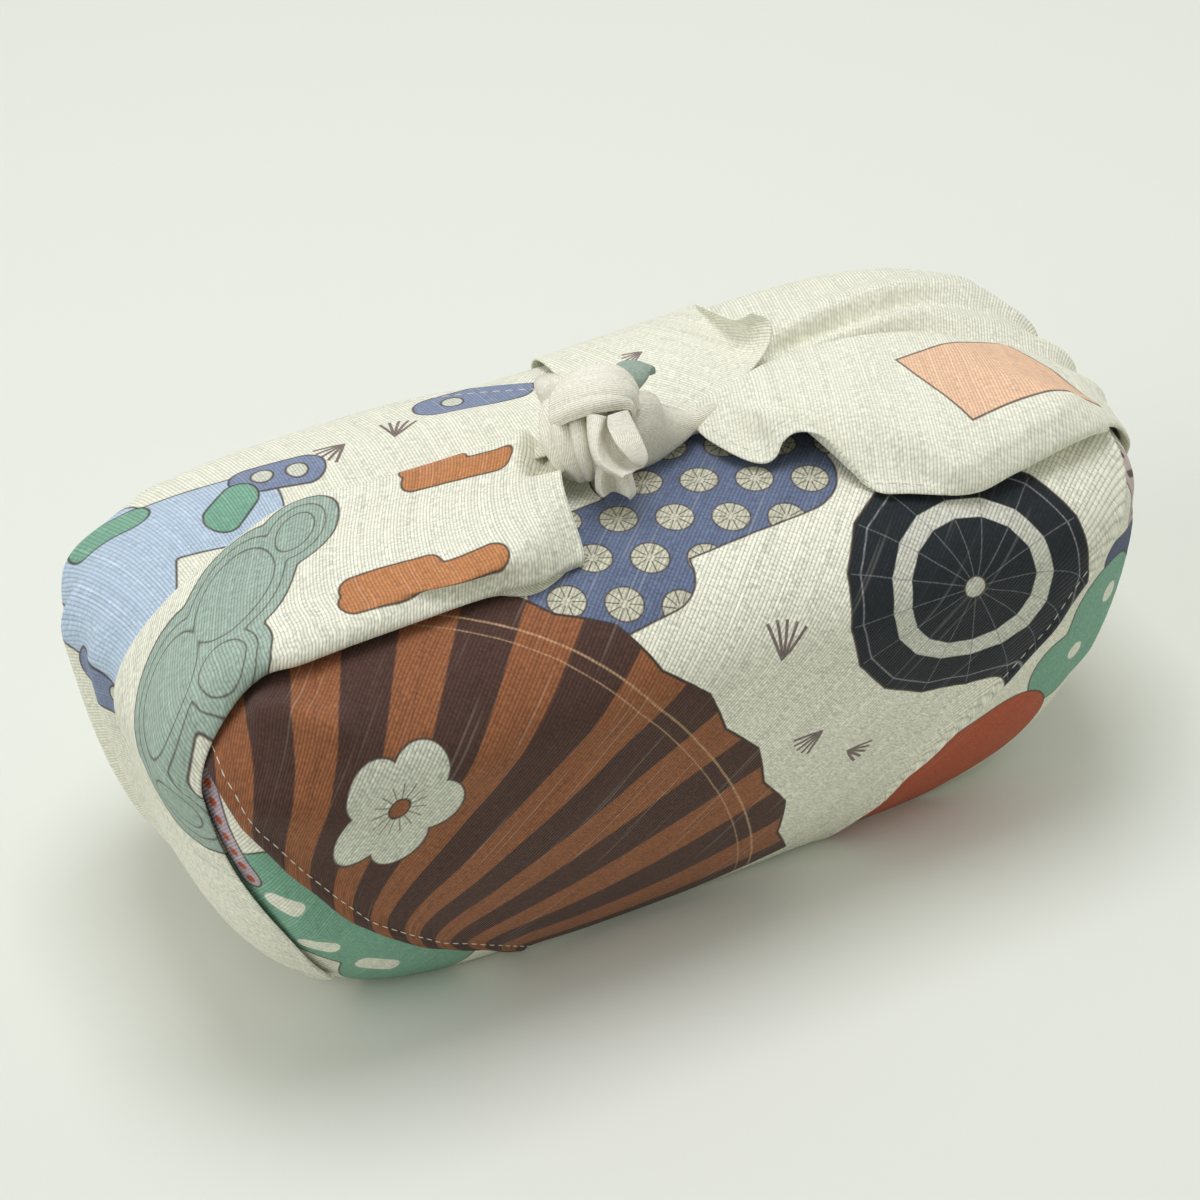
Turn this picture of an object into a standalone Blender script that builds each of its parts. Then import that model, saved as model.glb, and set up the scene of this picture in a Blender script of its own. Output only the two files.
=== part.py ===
"""Furoshiki wrap: one square of slub cotton folded round a loaf-shaped bundle and tied on top.

Blender 4.5 script. Units are metres, +Z is up, +X is the bundle's long axis and -Y its front.
The origin is the middle of the flat base. The tables below are in centimetres, and their
`lift` column, the distance of the cloth from the bundle, is in millimetres.

The cloth and the load it holds are one filled solid: the bundle, the front flap, the left tie,
the right tie and the knot are lofted one by one and joined by Boolean unions.
"""
import bpy
import bmesh
import numpy as np

CM = 0.01
MM = 0.001

# ---- The bundle: a rounded loaf, widest near its top, cut flat where it rests ----
HALF_LENGTH = 14.0 * CM
HALF_DEPTH = 6.8 * CM
TOP = 11.4 * CM
WIDEST = 9.0 * CM            # height of the widest level
LOWER_DEPTH = 10.35 * CM     # how far the lower half would reach if the floor didn't cut it
END_SQUARENESS = 5.8
SIDE_SQUARENESS = 4.0
ROUNDNESS = 1.8
CORE = HALF_LENGTH - HALF_DEPTH
BUNDLE_CELLS = (26, 13, 13)  # cells along X, Y and Z of the box that is blown up to the bundle

CLOTH = 2.0 * MM             # thickness of a loose layer
SUNK = 1.0 * MM              # how far a lying layer reaches into the bundle, so that they fuse
LOOSE_FROM = 5.0 * MM        # where a free hem is lifted less than this, it is filled underneath
LOOSE_AT = 8.0 * MM          # and where it is lifted more, the cloth behind it is a free sheet
LOOSE_REACH = 0.3            # over this share of the cloth's width, counted from the free hem
FLOOR_GAP = 0.8 * MM         # lowest point of a layer above the surface under the wrap

# ---- The front flap: its two hems, from the base up ----
FLAP_LIFT = 1.8 * MM
FLAP_HEMS = (
    # height, left hem x, right hem x
    (0.2, -5.6, 3.9),
    (1.3, -6.9, 5.0),
    (2.5, -8.6, 5.8),
    (4.5, -10.6, 7.7),
    (6.8, -12.1, 9.9),
    (8.3, -12.9, 11.0),
    (9.5, -13.3, 11.8),
    (11.4, -13.2, 12.7),
)
FLAP_TURNS = (128.0, -78.0)  # degrees above the horizontal where the flap starts and ends
FLAP_CELLS = (24, 22)

# ---- The left tie: folds that fan out from the knot, from the front edge to the back one ----
LEFT_TIE = {
    "front edge": (
        # x, y, z, lift
        (-2.8, -4.2, 11.6, 2.0),
        (-4.9, -4.6, 11.5, 3.0),
        (-7.0, -4.9, 11.4, 4.0),
        (-9.6, -4.6, 11.3, 5.0),
        (-11.7, -4.1, 11.1, 5.0),
        (-12.9, -4.4, 10.5, 4.5),
        (-13.6, -4.7, 9.7, 4.0),
        (-13.6, -5.1, 8.0, 3.0),
        (-13.2, -5.4, 6.2, 2.5),
        (-12.0, -5.4, 3.3, 2.0),
        (-11.0, -4.9, 0.6, 1.5),
    ),
    "front roll": (
        (-2.7, -3.6, 11.7, 4.0),
        (-4.9, -4.0, 11.6, 6.0),
        (-7.0, -4.2, 11.5, 8.0),
        (-9.5, -3.9, 11.4, 9.0),
        (-11.7, -3.3, 11.1, 8.5),
        (-13.2, -3.6, 10.4, 8.0),
        (-14.0, -3.9, 9.0, 6.5),
        (-14.0, -4.1, 7.0, 5.0),
        (-13.4, -4.4, 5.0, 4.0),
        (-12.2, -4.6, 2.6, 3.0),
        (-11.2, -4.2, 0.6, 1.5),
    ),
    "wing": (
        (-2.5, -2.0, 11.8, 5.0),
        (-4.3, -2.6, 11.8, 6.0),
        (-6.4, -3.1, 11.7, 7.0),
        (-9.2, -2.6, 11.5, 8.0),
        (-11.6, -2.2, 11.2, 7.0),
        (-13.6, -2.4, 10.2, 6.0),
        (-14.3, -2.6, 8.0, 5.0),
        (-13.9, -2.8, 5.6, 4.0),
        (-13.0, -3.0, 3.2, 3.0),
        (-11.6, -3.0, 0.6, 1.5),
    ),
    "middle": (
        (-1.9, -0.2, 11.9, 10.0),
        (-3.6, -0.6, 11.9, 9.0),
        (-6.2, -1.0, 11.8, 9.0),
        (-9.3, -0.8, 11.6, 8.0),
        (-11.8, -0.8, 11.2, 7.0),
        (-13.9, -1.2, 9.6, 5.0),
        (-14.1, -1.5, 6.6, 4.0),
        (-13.3, -1.6, 3.6, 3.0),
        (-11.8, -1.6, 0.6, 1.5),
    ),
    "back roll": (
        (-1.0, 1.2, 12.0, 11.0),
        (-2.9, 1.7, 11.9, 8.0),
        (-5.6, 1.5, 11.8, 7.0),
        (-8.9, 0.9, 11.6, 6.0),
        (-11.6, 0.8, 11.2, 5.0),
        (-13.7, 0.2, 9.9, 4.5),
        (-14.1, -0.2, 7.0, 3.5),
        (-13.2, -0.4, 3.6, 2.5),
        (-11.8, -0.4, 0.6, 1.5),
    ),
    "back edge": (
        (-0.8, 2.6, 11.8, 3.0),
        (-2.5, 3.0, 11.7, 2.5),
        (-5.4, 2.6, 11.7, 2.5),
        (-8.6, 1.9, 11.6, 2.5),
        (-11.4, 1.7, 11.2, 2.5),
        (-13.6, 0.9, 10.0, 2.0),
        (-14.2, 0.4, 7.4, 2.0),
        (-13.3, 0.2, 3.6, 1.5),
        (-11.8, 0.2, 0.6, 1.5),
    ),
}
LEFT_CELLS = (34, 20)

# ---- The right tie: its wavy free hem and the creases that run to the knot ----
RIGHT_TIE = {
    "hem": (
        (2.3, -0.6, 11.8, 4.0),
        (2.4, -1.7, 12.0, 5.0),
        (2.9, -2.5, 11.8, 4.0),
        (3.4, -2.6, 12.0, 6.0),
        (3.7, -2.5, 12.5, 11.0),
        (4.0, -2.8, 13.0, 15.0),
        (4.5, -3.1, 12.8, 14.0),
        (4.8, -3.7, 12.4, 10.0),
        (5.2, -4.5, 11.8, 5.0),
        (6.1, -4.9, 11.5, 3.5),
        (7.7, -5.4, 11.3, 3.5),
        (9.0, -5.4, 11.3, 4.0),
        (10.6, -5.0, 11.4, 5.0),
        (12.2, -4.6, 11.2, 5.0),
        (13.2, -4.6, 10.2, 4.0),
        (13.9, -4.4, 8.0, 3.0),
        (13.4, -4.4, 5.0, 2.5),
        (11.9, -4.2, 1.6, 2.0),
    ),
    "hem roll": (
        (2.4, -0.3, 11.9, 6.0),
        (2.8, -1.2, 12.2, 9.0),
        (3.4, -1.8, 12.2, 9.0),
        (4.0, -1.9, 12.7, 14.0),
        (4.5, -2.3, 13.1, 17.0),
        (5.1, -3.0, 12.8, 14.0),
        (5.8, -4.0, 12.1, 9.0),
        (7.6, -4.7, 11.8, 9.0),
        (9.0, -4.7, 11.8, 9.5),
        (10.6, -4.3, 11.8, 10.0),
        (12.3, -3.9, 11.4, 9.0),
        (13.5, -3.9, 10.2, 7.0),
        (14.2, -3.6, 8.0, 5.0),
        (13.6, -3.4, 5.0, 4.0),
        (12.0, -3.2, 1.6, 2.5),
    ),
    "lobe": (
        (2.5, 0.2, 12.0, 7.0),
        (3.7, -0.3, 12.5, 12.0),
        (5.2, -0.8, 12.8, 15.0),
        (6.9, -1.6, 12.6, 13.0),
        (8.9, -2.1, 12.2, 11.0),
        (10.8, -2.0, 12.0, 10.0),
        (12.6, -1.9, 11.4, 9.0),
        (14.0, -1.9, 9.6, 7.0),
        (14.1, -1.8, 6.6, 5.0),
        (12.1, -1.6, 1.6, 2.5),
    ),
    "near crease": (
        (2.6, 0.7, 11.9, 3.5),
        (4.2, 1.2, 11.8, 3.5),
        (5.9, 1.5, 11.8, 4.0),
        (7.9, 1.2, 11.8, 5.0),
        (10.6, 0.9, 11.6, 5.0),
        (12.6, 0.0, 11.0, 4.0),
        (14.1, -0.4, 9.4, 4.0),
        (14.0, -0.4, 6.4, 3.5),
        (12.0, -0.4, 1.6, 2.5),
    ),
    "pleat": (
        (2.6, 1.0, 12.0, 7.0),
        (4.3, 1.7, 12.1, 8.0),
        (6.1, 2.2, 12.2, 9.0),
        (8.2, 2.3, 12.2, 9.0),
        (10.7, 2.3, 11.9, 8.5),
        (12.8, 1.6, 11.1, 7.5),
        (14.0, 1.2, 9.4, 6.0),
        (14.0, 0.8, 6.4, 4.0),
        (12.0, 0.6, 1.6, 2.5),
    ),
    "far crease": (
        (2.6, 1.5, 11.8, 3.5),
        (4.5, 2.3, 11.8, 4.0),
        (6.4, 2.9, 11.7, 4.0),
        (8.6, 3.2, 11.6, 4.5),
        (11.0, 3.3, 11.3, 4.0),
        (13.0, 2.8, 10.4, 4.0),
        (13.9, 2.2, 8.6, 3.5),
        (13.2, 1.6, 4.6, 2.5),
        (12.0, 1.4, 1.6, 2.0),
    ),
    "back": (
        (2.3, 2.4, 11.9, 5.0),
        (4.2, 3.3, 11.9, 6.0),
        (6.4, 4.0, 11.7, 6.5),
        (8.8, 4.4, 11.5, 7.0),
        (11.2, 4.4, 11.0, 6.5),
        (13.0, 3.8, 9.8, 5.0),
        (13.6, 3.2, 7.6, 4.0),
        (13.0, 2.6, 4.6, 3.0),
        (11.9, 2.4, 1.6, 2.0),
    ),
    "back hem": (
        (1.6, 3.6, 11.6, 2.0),
        (4.0, 4.9, 11.3, 2.5),
        (6.6, 5.6, 10.8, 3.0),
        (9.2, 5.8, 10.4, 3.0),
        (11.4, 5.4, 9.8, 2.5),
        (12.8, 4.8, 8.6, 2.0),
        (13.2, 4.2, 6.6, 2.0),
        (12.8, 3.6, 4.2, 2.0),
        (11.8, 3.4, 1.6, 1.5),
    ),
}
RIGHT_CELLS = (46, 26)

# ---- The knot: strands of bunched cloth; `wide` and `thick` are half widths ----
STRAND_SIDES = 18
STRAND_STEPS = 10
KNOT = {
    "over strand": dict(pleats=7, ridge=0.07, across=(0.55, -0.75, 0.25), rows=(
        # x, y, z, wide, thick
        (0.95, 0.75, 12.3, 0.45, 0.40),
        (0.75, 0.35, 13.2, 0.80, 0.50),
        (0.10, -0.10, 13.9, 0.95, 0.50),
        (-0.75, -0.40, 13.9, 0.95, 0.55),
        (-1.55, -0.55, 13.3, 0.90, 0.60),
        (-1.80, -0.85, 12.5, 0.75, 0.55),
        (-1.30, -1.15, 12.0, 0.45, 0.40),
    )),
    "lobe": dict(pleats=6, ridge=0.08, across=(0.85, -0.45, 0.0), rows=(
        (-0.90, -0.70, 13.5, 0.55, 0.45),
        (-1.25, -1.15, 13.1, 0.85, 0.55),
        (-1.30, -1.50, 12.5, 0.85, 0.55),
        (-1.10, -1.45, 12.0, 0.55, 0.45),
    )),
    "right neck": dict(pleats=5, ridge=0.03, across=(0.1, 0.9, 0.2), rows=(
        (3.00, 0.20, 11.8, 0.95, 0.45),
        (2.20, -0.10, 12.0, 1.05, 0.75),
        (1.30, -0.45, 12.3, 1.15, 0.95),
        (0.30, -0.65, 12.6, 1.10, 0.95),
        (-0.60, -0.60, 12.8, 0.70, 0.65),
    )),
    "left neck": dict(pleats=5, ridge=0.05, across=(0.1, 0.9, 0.2), rows=(
        (-3.20, 0.80, 11.9, 0.80, 0.35),
        (-2.20, 0.60, 12.2, 0.80, 0.55),
        (-1.20, 0.30, 12.8, 0.85, 0.75),
        (-0.30, 0.00, 13.1, 0.60, 0.60),
    )),
    "tail": dict(pleats=2, ridge=0.10, across=(0.85, -0.30, -0.30), rows=(
        (-0.60, -0.90, 13.7, 0.40, 0.30),
        (-0.80, -1.70, 13.8, 0.62, 0.34),
        (-0.90, -2.40, 13.6, 0.68, 0.34),
        (-0.90, -3.00, 13.4, 0.55, 0.26),
        (-0.88, -3.30, 13.3, 0.25, 0.16),
    )),
    "under tail": dict(pleats=3, ridge=0.08, across=(0.9, -0.4, 0.0), rows=(
        (-0.60, -1.10, 12.6, 0.50, 0.40),
        (-0.90, -1.90, 12.5, 0.55, 0.30),
        (-1.10, -2.45, 12.25, 0.35, 0.18),
    )),
    "back tail": dict(pleats=2, ridge=0.08, across=(0.5, -0.7, 0.5), rows=(
        (0.30, 0.30, 13.2, 0.40, 0.25),
        (1.00, 0.85, 13.3, 0.45, 0.20),
        (1.70, 1.25, 13.0, 0.12, 0.10),
    )),
    "left tail": dict(pleats=2, ridge=0.08, across=(0.8, 0.3, 0.3), rows=(
        (-0.50, 0.20, 13.4, 0.45, 0.25),
        (-0.85, 0.80, 13.6, 0.50, 0.20),
        (-1.10, 1.35, 13.6, 0.25, 0.12),
    )),
}

COTTON = (0.80, 0.77, 0.63, 1.0)


def empty_scene():
    """Remove the objects that the scene starts with."""
    for thing in list(bpy.data.objects):
        bpy.data.objects.remove(thing, do_unlink=True)


def new_collection(name):
    """Make a collection in the scene."""
    group = bpy.data.collections.new(name)
    bpy.context.scene.collection.children.link(group)
    return group


def fullness(points):
    """1 on the bundle's skin, less inside it and more outside."""
    x, y, z = points[..., 0], points[..., 1], points[..., 2]
    level = np.where(z > WIDEST, (z - WIDEST) / (TOP - WIDEST), (WIDEST - z) / LOWER_DEPTH)
    plan = np.abs(x / HALF_LENGTH) ** END_SQUARENESS + np.abs(y / HALF_DEPTH) ** SIDE_SQUARENESS
    return plan + np.maximum(level, 0.0) ** ROUNDNESS


def out_to_skin(start, heading):
    """Follow rays from points inside the bundle out to its skin."""
    near = np.zeros(start.shape[:-1])
    far = np.full(start.shape[:-1], 2.0 * HALF_LENGTH)
    for _ in range(32):
        middle = 0.5 * (near + far)
        inside = fullness(start + middle[..., None] * heading) < 1.0
        near = np.where(inside, middle, near)
        far = np.where(inside, far, middle)
    return start + near[..., None] * heading


def outward(points):
    """Unit normals of the bundle's skin."""
    step = 0.1 * MM
    slope = np.stack([fullness(points + step * axis) - fullness(points - step * axis)
                      for axis in np.eye(3)], axis=-1)
    return slope / np.linalg.norm(slope, axis=-1, keepdims=True)


def press(points):
    """Move points onto the bundle, straight away from its long core."""
    heart = np.zeros_like(points)
    heart[..., 0] = np.clip(points[..., 0], -CORE, CORE)
    heart[..., 2] = WIDEST
    heading = points - heart
    return out_to_skin(heart, heading / np.linalg.norm(heading, axis=-1, keepdims=True))


def smooth_line(rows, count):
    """Even points on the Catmull-Rom curve through the rows, evened by the first three columns."""
    rows = np.asarray(rows, float)
    ends = np.vstack([2 * rows[0] - rows[1], rows, 2 * rows[-1] - rows[-2]])
    fine = []
    for a, b, c, d in zip(ends, ends[1:], ends[2:], ends[3:]):
        for t in np.arange(0, 1, 0.05):
            fine.append(0.5 * (2 * b + (c - a) * t + (2 * a - 5 * b + 4 * c - d) * t ** 2
                               + (3 * b - a - 3 * c + d) * t ** 3))
    fine = np.array(fine + [rows[-1]])
    steps = np.linalg.norm(np.diff(fine[:, :3], axis=0), axis=1)
    travelled = np.concatenate([[0.0], np.cumsum(steps)])
    wanted = np.linspace(0.0, travelled[-1], count)
    return np.stack([np.interp(wanted, travelled, column) for column in fine.T], axis=-1)


def fold_grid(folds, cells):
    """Points and lifts of a cloth laid over its fold lines, given in cm and mm."""
    along = np.array([smooth_line(rows, cells[0] + 1) for rows in folds.values()])
    grid = np.array([smooth_line(along[:, i], cells[1] + 1) for i in range(cells[0] + 1)])
    return press(grid[..., :3] * CM), grid[..., 3] * MM


def flap_grid():
    """Points of the front flap between its two slanting hems."""
    hems = np.array(FLAP_HEMS) * CM
    turns = np.radians(np.linspace(*FLAP_TURNS, FLAP_CELLS[1] + 1))
    rows = []
    for turn in turns:
        heading = np.array([0.0, -np.cos(turn), np.sin(turn)])
        edges = []
        for hem in (1, 2):
            x = hems[-1, hem]
            for _ in range(6):
                point = out_to_skin(np.array([x, 0.0, WIDEST]), heading)
                if turn < np.pi / 2:
                    x = np.interp(max(point[2], 0.0), hems[:, 0], hems[:, hem])
            edges.append(x)
        starts = np.zeros((FLAP_CELLS[0] + 1, 3))
        starts[:, 0] = np.linspace(edges[0], edges[1], FLAP_CELLS[0] + 1)
        starts[:, 2] = WIDEST
        rows.append(out_to_skin(starts, np.broadcast_to(heading, starts.shape)))
    return np.array(rows)


def solid_from_grids(name, outer, inner, group):
    """A closed solid between two grids of points of the same size."""
    rows, columns = outer.shape[:2]
    points = np.vstack([outer.reshape(-1, 3), inner.reshape(-1, 3)])
    top = np.arange(rows * columns).reshape(rows, columns)
    low = top + rows * columns
    faces = []
    for i in range(rows - 1):
        for j in range(columns - 1):
            faces.append((top[i, j], top[i + 1, j], top[i + 1, j + 1], top[i, j + 1]))
            faces.append((low[i, j], low[i, j + 1], low[i + 1, j + 1], low[i + 1, j]))
    rim = list(top[:, 0]) + list(top[-1, 1:]) + list(top[-2::-1, -1]) + list(top[0, -2:0:-1])
    drop = rows * columns
    for a, b in zip(rim, rim[1:] + rim[:1]):
        faces.append((b, a, a + drop, b + drop))
    return solid_from_faces(name, points, faces, group)


def solid_from_faces(name, points, faces, group):
    """A mesh object from faces, with its faces turned outwards."""
    mesh = bpy.data.meshes.new(name)
    mesh.from_pydata([tuple(map(float, p)) for p in points], [], [tuple(map(int, f)) for f in faces])
    work = bmesh.new()
    work.from_mesh(mesh)
    bmesh.ops.recalc_face_normals(work, faces=work.faces)
    work.to_mesh(mesh)
    work.free()
    thing = bpy.data.objects.new(name, mesh)
    group.objects.link(thing)
    return thing


def lying_cloth(name, points, lift, group):
    """A layer filled down to the bundle, but for a free sheet where its first hem is lifted."""
    normals = outward(points)
    raised = np.clip((lift[:, :1] - LOOSE_FROM) / (LOOSE_AT - LOOSE_FROM), 0.0, 1.0)
    inland = np.linspace(0.0, 1.0, lift.shape[1]) / LOOSE_REACH
    free = raised * np.clip(1.5 - 1.5 * inland, 0.0, 1.0)
    under = -SUNK + free * (lift - CLOTH + SUNK)
    outer = points + normals * lift[..., None]
    inner = points + normals * under[..., None]
    for layer in (outer, inner):
        layer[..., 2] = np.maximum(layer[..., 2], FLOOR_GAP)
    return solid_from_grids(name, outer, inner, group)


def make_bundle(group):
    """The filled body of the wrap, blown up from a box and cut flat at the floor."""
    work = bmesh.new()
    bmesh.ops.create_cube(work, size=2.0)
    for axis, cells in enumerate(BUNDLE_CELLS):
        parallel = [e for e in work.edges if e.verts[0].co[axis] * e.verts[1].co[axis] < -0.5]
        bmesh.ops.subdivide_edges(work, edges=parallel, cuts=cells - 1, use_grid_fill=True)
    box = np.array([v.co[:] for v in work.verts])
    box = box * (HALF_LENGTH, HALF_DEPTH, LOWER_DEPTH)
    box[:, 2] = np.where(box[:, 2] > 0, box[:, 2] * (TOP - WIDEST) / LOWER_DEPTH, box[:, 2]) + WIDEST
    for vert, place in zip(work.verts, press(box)):
        vert.co = place
    bmesh.ops.recalc_face_normals(work, faces=work.faces)
    cut = bmesh.ops.bisect_plane(work, geom=work.verts[:] + work.edges[:] + work.faces[:],
                                 plane_co=(0, 0, 0), plane_no=(0, 0, 1), clear_inner=True)
    rim = [e for e in cut["geom_cut"] if isinstance(e, bmesh.types.BMEdge)]
    bmesh.ops.contextual_create(work, geom=rim)
    bmesh.ops.recalc_face_normals(work, faces=work.faces)
    mesh = bpy.data.meshes.new("bundle")
    work.to_mesh(mesh)
    work.free()
    thing = bpy.data.objects.new("bundle", mesh)
    group.objects.link(thing)
    return thing


def make_strand(name, form, group):
    """A strand of bunched cloth: a pleated oval swept along its rows, closed at both ends."""
    rows = smooth_line(form["rows"], STRAND_STEPS + 1) * CM
    across = np.array(form["across"], float)
    turns = np.linspace(0, 2 * np.pi, STRAND_SIDES, endpoint=False)
    swell = 1.0 + form["ridge"] * np.cos(form["pleats"] * turns)
    tangents = np.gradient(rows[:, :3], axis=0)
    points = []
    for row, tangent in zip(rows, tangents):
        tangent = tangent / np.linalg.norm(tangent)
        wide = across - tangent * across.dot(tangent)
        wide = wide / np.linalg.norm(wide)
        thick = np.cross(tangent, wide)
        ring = (np.outer(np.cos(turns) * swell * row[3], wide)
                + np.outer(np.sin(turns) * swell * row[4], thick))
        points.extend(row[:3] + ring)
    faces = []
    for i in range(STRAND_STEPS):
        for j in range(STRAND_SIDES):
            k = (j + 1) % STRAND_SIDES
            a, b = i * STRAND_SIDES, (i + 1) * STRAND_SIDES
            faces.append((a + j, a + k, b + k, b + j))
    for i, side in ((0, -1.0), (STRAND_STEPS, 1.0)):
        tangent = tangents[i] / np.linalg.norm(tangents[i])
        tip = len(points)
        points.append(rows[i, :3] + side * 0.8 * rows[i, 4] * tangent)
        for j in range(STRAND_SIDES):
            faces.append((i * STRAND_SIDES + j, i * STRAND_SIDES + (j + 1) % STRAND_SIDES, tip))
    return solid_from_faces(name, points, faces, group)


def fuse(base, addition):
    """Join another solid to the base and remove the other. The exact solver loses strands here."""
    union = base.modifiers.new("union", "BOOLEAN")
    union.operation = "UNION"
    union.solver = "MANIFOLD"
    union.object = addition
    evaluated = base.evaluated_get(bpy.context.evaluated_depsgraph_get())
    mesh = bpy.data.meshes.new_from_object(evaluated)
    base.modifiers.clear()
    base.data = mesh
    bpy.data.objects.remove(addition, do_unlink=True)


def keep_main_shell(thing):
    """Delete the specks that the unions leave where two layers cross at a grazing angle."""
    work = bmesh.new()
    work.from_mesh(thing.data)
    left = set(work.verts)
    shells = []
    while left:
        shell = set()
        edge_of_shell = [left.pop()]
        while edge_of_shell:
            vert = edge_of_shell.pop()
            shell.add(vert)
            near = {edge.other_vert(vert) for edge in vert.link_edges} & left
            left -= near
            edge_of_shell.extend(near)
        shells.append(shell)
    main = max(shells, key=len)
    bmesh.ops.delete(work, geom=[v for v in work.verts if v not in main], context="VERTS")
    work.to_mesh(thing.data)
    work.free()


def cotton():
    """Undyed slub cotton."""
    material = bpy.data.materials.new("slub cotton")
    material.use_nodes = True
    shader = material.node_tree.nodes["Principled BSDF"]
    shader.inputs["Base Color"].default_value = COTTON
    shader.inputs["Roughness"].default_value = 0.9
    shader.inputs["Metallic"].default_value = 0.0
    return material


empty_scene()
wrap_parts = new_collection("furoshiki_wrap")
layers = new_collection("layers_before_joining")

wrap = make_bundle(layers)
flap_points = flap_grid()
additions = [
    lying_cloth("front flap", flap_points, np.full(flap_points.shape[:2], FLAP_LIFT), layers),
    lying_cloth("left tie", *fold_grid(LEFT_TIE, LEFT_CELLS), layers),
    lying_cloth("right tie", *fold_grid(RIGHT_TIE, RIGHT_CELLS), layers),
]
additions += [make_strand(name, form, layers) for name, form in KNOT.items()]
for addition in additions:
    fuse(wrap, addition)
keep_main_shell(wrap)

wrap.name = "wrap"
wrap.data.name = "wrap"
layers.objects.unlink(wrap)
wrap_parts.objects.link(wrap)
wrap.data.materials.clear()
wrap.data.materials.append(cotton())
wrap.data.shade_smooth()
wrap.data.set_sharp_from_angle(angle=np.radians(40))
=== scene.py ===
"""A furoshiki wrap: a square of printed slub cotton tied round a loaf-shaped load."""
import math

import bmesh
import bpy
import numpy as np
from mathutils import Matrix, Vector


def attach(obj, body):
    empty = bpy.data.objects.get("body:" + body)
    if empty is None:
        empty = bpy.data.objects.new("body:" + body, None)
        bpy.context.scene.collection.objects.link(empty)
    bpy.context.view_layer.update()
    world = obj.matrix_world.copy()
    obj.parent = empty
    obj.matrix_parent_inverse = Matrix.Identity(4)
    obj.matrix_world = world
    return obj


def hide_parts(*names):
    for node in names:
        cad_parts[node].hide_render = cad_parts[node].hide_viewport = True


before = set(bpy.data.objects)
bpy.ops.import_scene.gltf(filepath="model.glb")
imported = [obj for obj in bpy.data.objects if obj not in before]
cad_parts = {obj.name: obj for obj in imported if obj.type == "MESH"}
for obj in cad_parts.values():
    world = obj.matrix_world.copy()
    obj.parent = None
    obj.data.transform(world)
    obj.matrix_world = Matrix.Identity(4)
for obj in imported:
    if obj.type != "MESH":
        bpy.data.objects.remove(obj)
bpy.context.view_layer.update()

# ---------------------------------------------------------------------------------------------
# The camera stands in front of the wrap's left half and looks down on it. It's a short
# telephoto about 90 cm away, held almost level.
# ---------------------------------------------------------------------------------------------
CAMERA_AZIMUTH = -25.5
CAMERA_ELEVATION = 39.1
CAMERA_ROLL = -1.55
CAMERA_DISTANCE = 0.9075
CAMERA_TARGET = Vector((-0.0056, 0.0, 0.068))
CAMERA_LENS = 100
CAMERA_SENSOR = 36

camera = bpy.data.cameras.new("camera")
camera.lens = CAMERA_LENS
camera.sensor_width = CAMERA_SENSOR
viewer = bpy.data.objects.new("camera", camera)
bpy.context.scene.collection.objects.link(viewer)
azimuth, elevation, roll = (math.radians(a) for a in (CAMERA_AZIMUTH, CAMERA_ELEVATION, CAMERA_ROLL))
backward = Vector((math.sin(azimuth) * math.cos(elevation),
                   -math.cos(azimuth) * math.cos(elevation),
                   math.sin(elevation)))
level_right = (-backward).cross(Vector((0, 0, 1))).normalized()
level_up = level_right.cross(-backward)
rightward = level_right * math.cos(roll) + level_up * math.sin(roll)
upward = level_up * math.cos(roll) - level_right * math.sin(roll)
placed = Matrix((rightward, upward, backward)).transposed().to_4x4()
placed.translation = CAMERA_TARGET + backward * CAMERA_DISTANCE
viewer.matrix_world = placed
bpy.context.scene.camera = viewer

# ---------------------------------------------------------------------------------------------
# The studio: a pale matt table under a soft box hung high over the wrap, with a weaker one on
# either side and a fill from the pale room.
# ---------------------------------------------------------------------------------------------
FLOOR_SIZE = 6.0
FLOOR_TONE = (0.80, 0.825, 0.765, 1.0)
ROOM_TONE = (1.0, 1.0, 0.90, 1.0)
LIGHT_TONE = (1.0, 0.995, 1.04)
ROOM_STRENGTH = 0.41
SOFT_BOXES = {
    # place, side in metres, watts
    "upper soft box": ((0.04, 0.24, 1.50), 0.7, 10.7),
    "left soft box": ((-1.5, 0.0, 1.1), 1.2, 8.4),
    "right soft box": ((1.7, 0.25, 1.1), 1.3, 4.5),
}

work = bmesh.new()
bmesh.ops.create_grid(work, x_segments=12, y_segments=12, size=FLOOR_SIZE / 2)
mesh = bpy.data.meshes.new("table")
work.to_mesh(mesh)
work.free()
table = bpy.data.objects.new("table", mesh)
bpy.context.scene.collection.objects.link(table)
paper = bpy.data.materials.new("table paper")
paper.use_nodes = True
shader = paper.node_tree.nodes["Principled BSDF"]
shader.inputs["Base Color"].default_value = FLOOR_TONE
shader.inputs["Roughness"].default_value = 0.9
shader.inputs["Specular IOR Level"].default_value = 0.1
mesh.materials.append(paper)

for name, (place, side, watts) in SOFT_BOXES.items():
    light = bpy.data.lights.new(name, "AREA")
    light.shape = "SQUARE"
    light.size = side
    light.energy = watts
    light.color = LIGHT_TONE
    lamp = bpy.data.objects.new(name, light)
    bpy.context.scene.collection.objects.link(lamp)
    lamp.location = place
    lamp.rotation_euler = (-Vector(place)).to_track_quat("-Z", "Y").to_euler()

world = bpy.data.worlds.new("room")
bpy.context.scene.world = world
world.use_nodes = True
sky = world.node_tree.nodes["Background"]
sky.inputs["Color"].default_value = ROOM_TONE
sky.inputs["Strength"].default_value = ROOM_STRENGTH
bpy.context.scene.view_settings.view_transform = "Standard"

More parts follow.
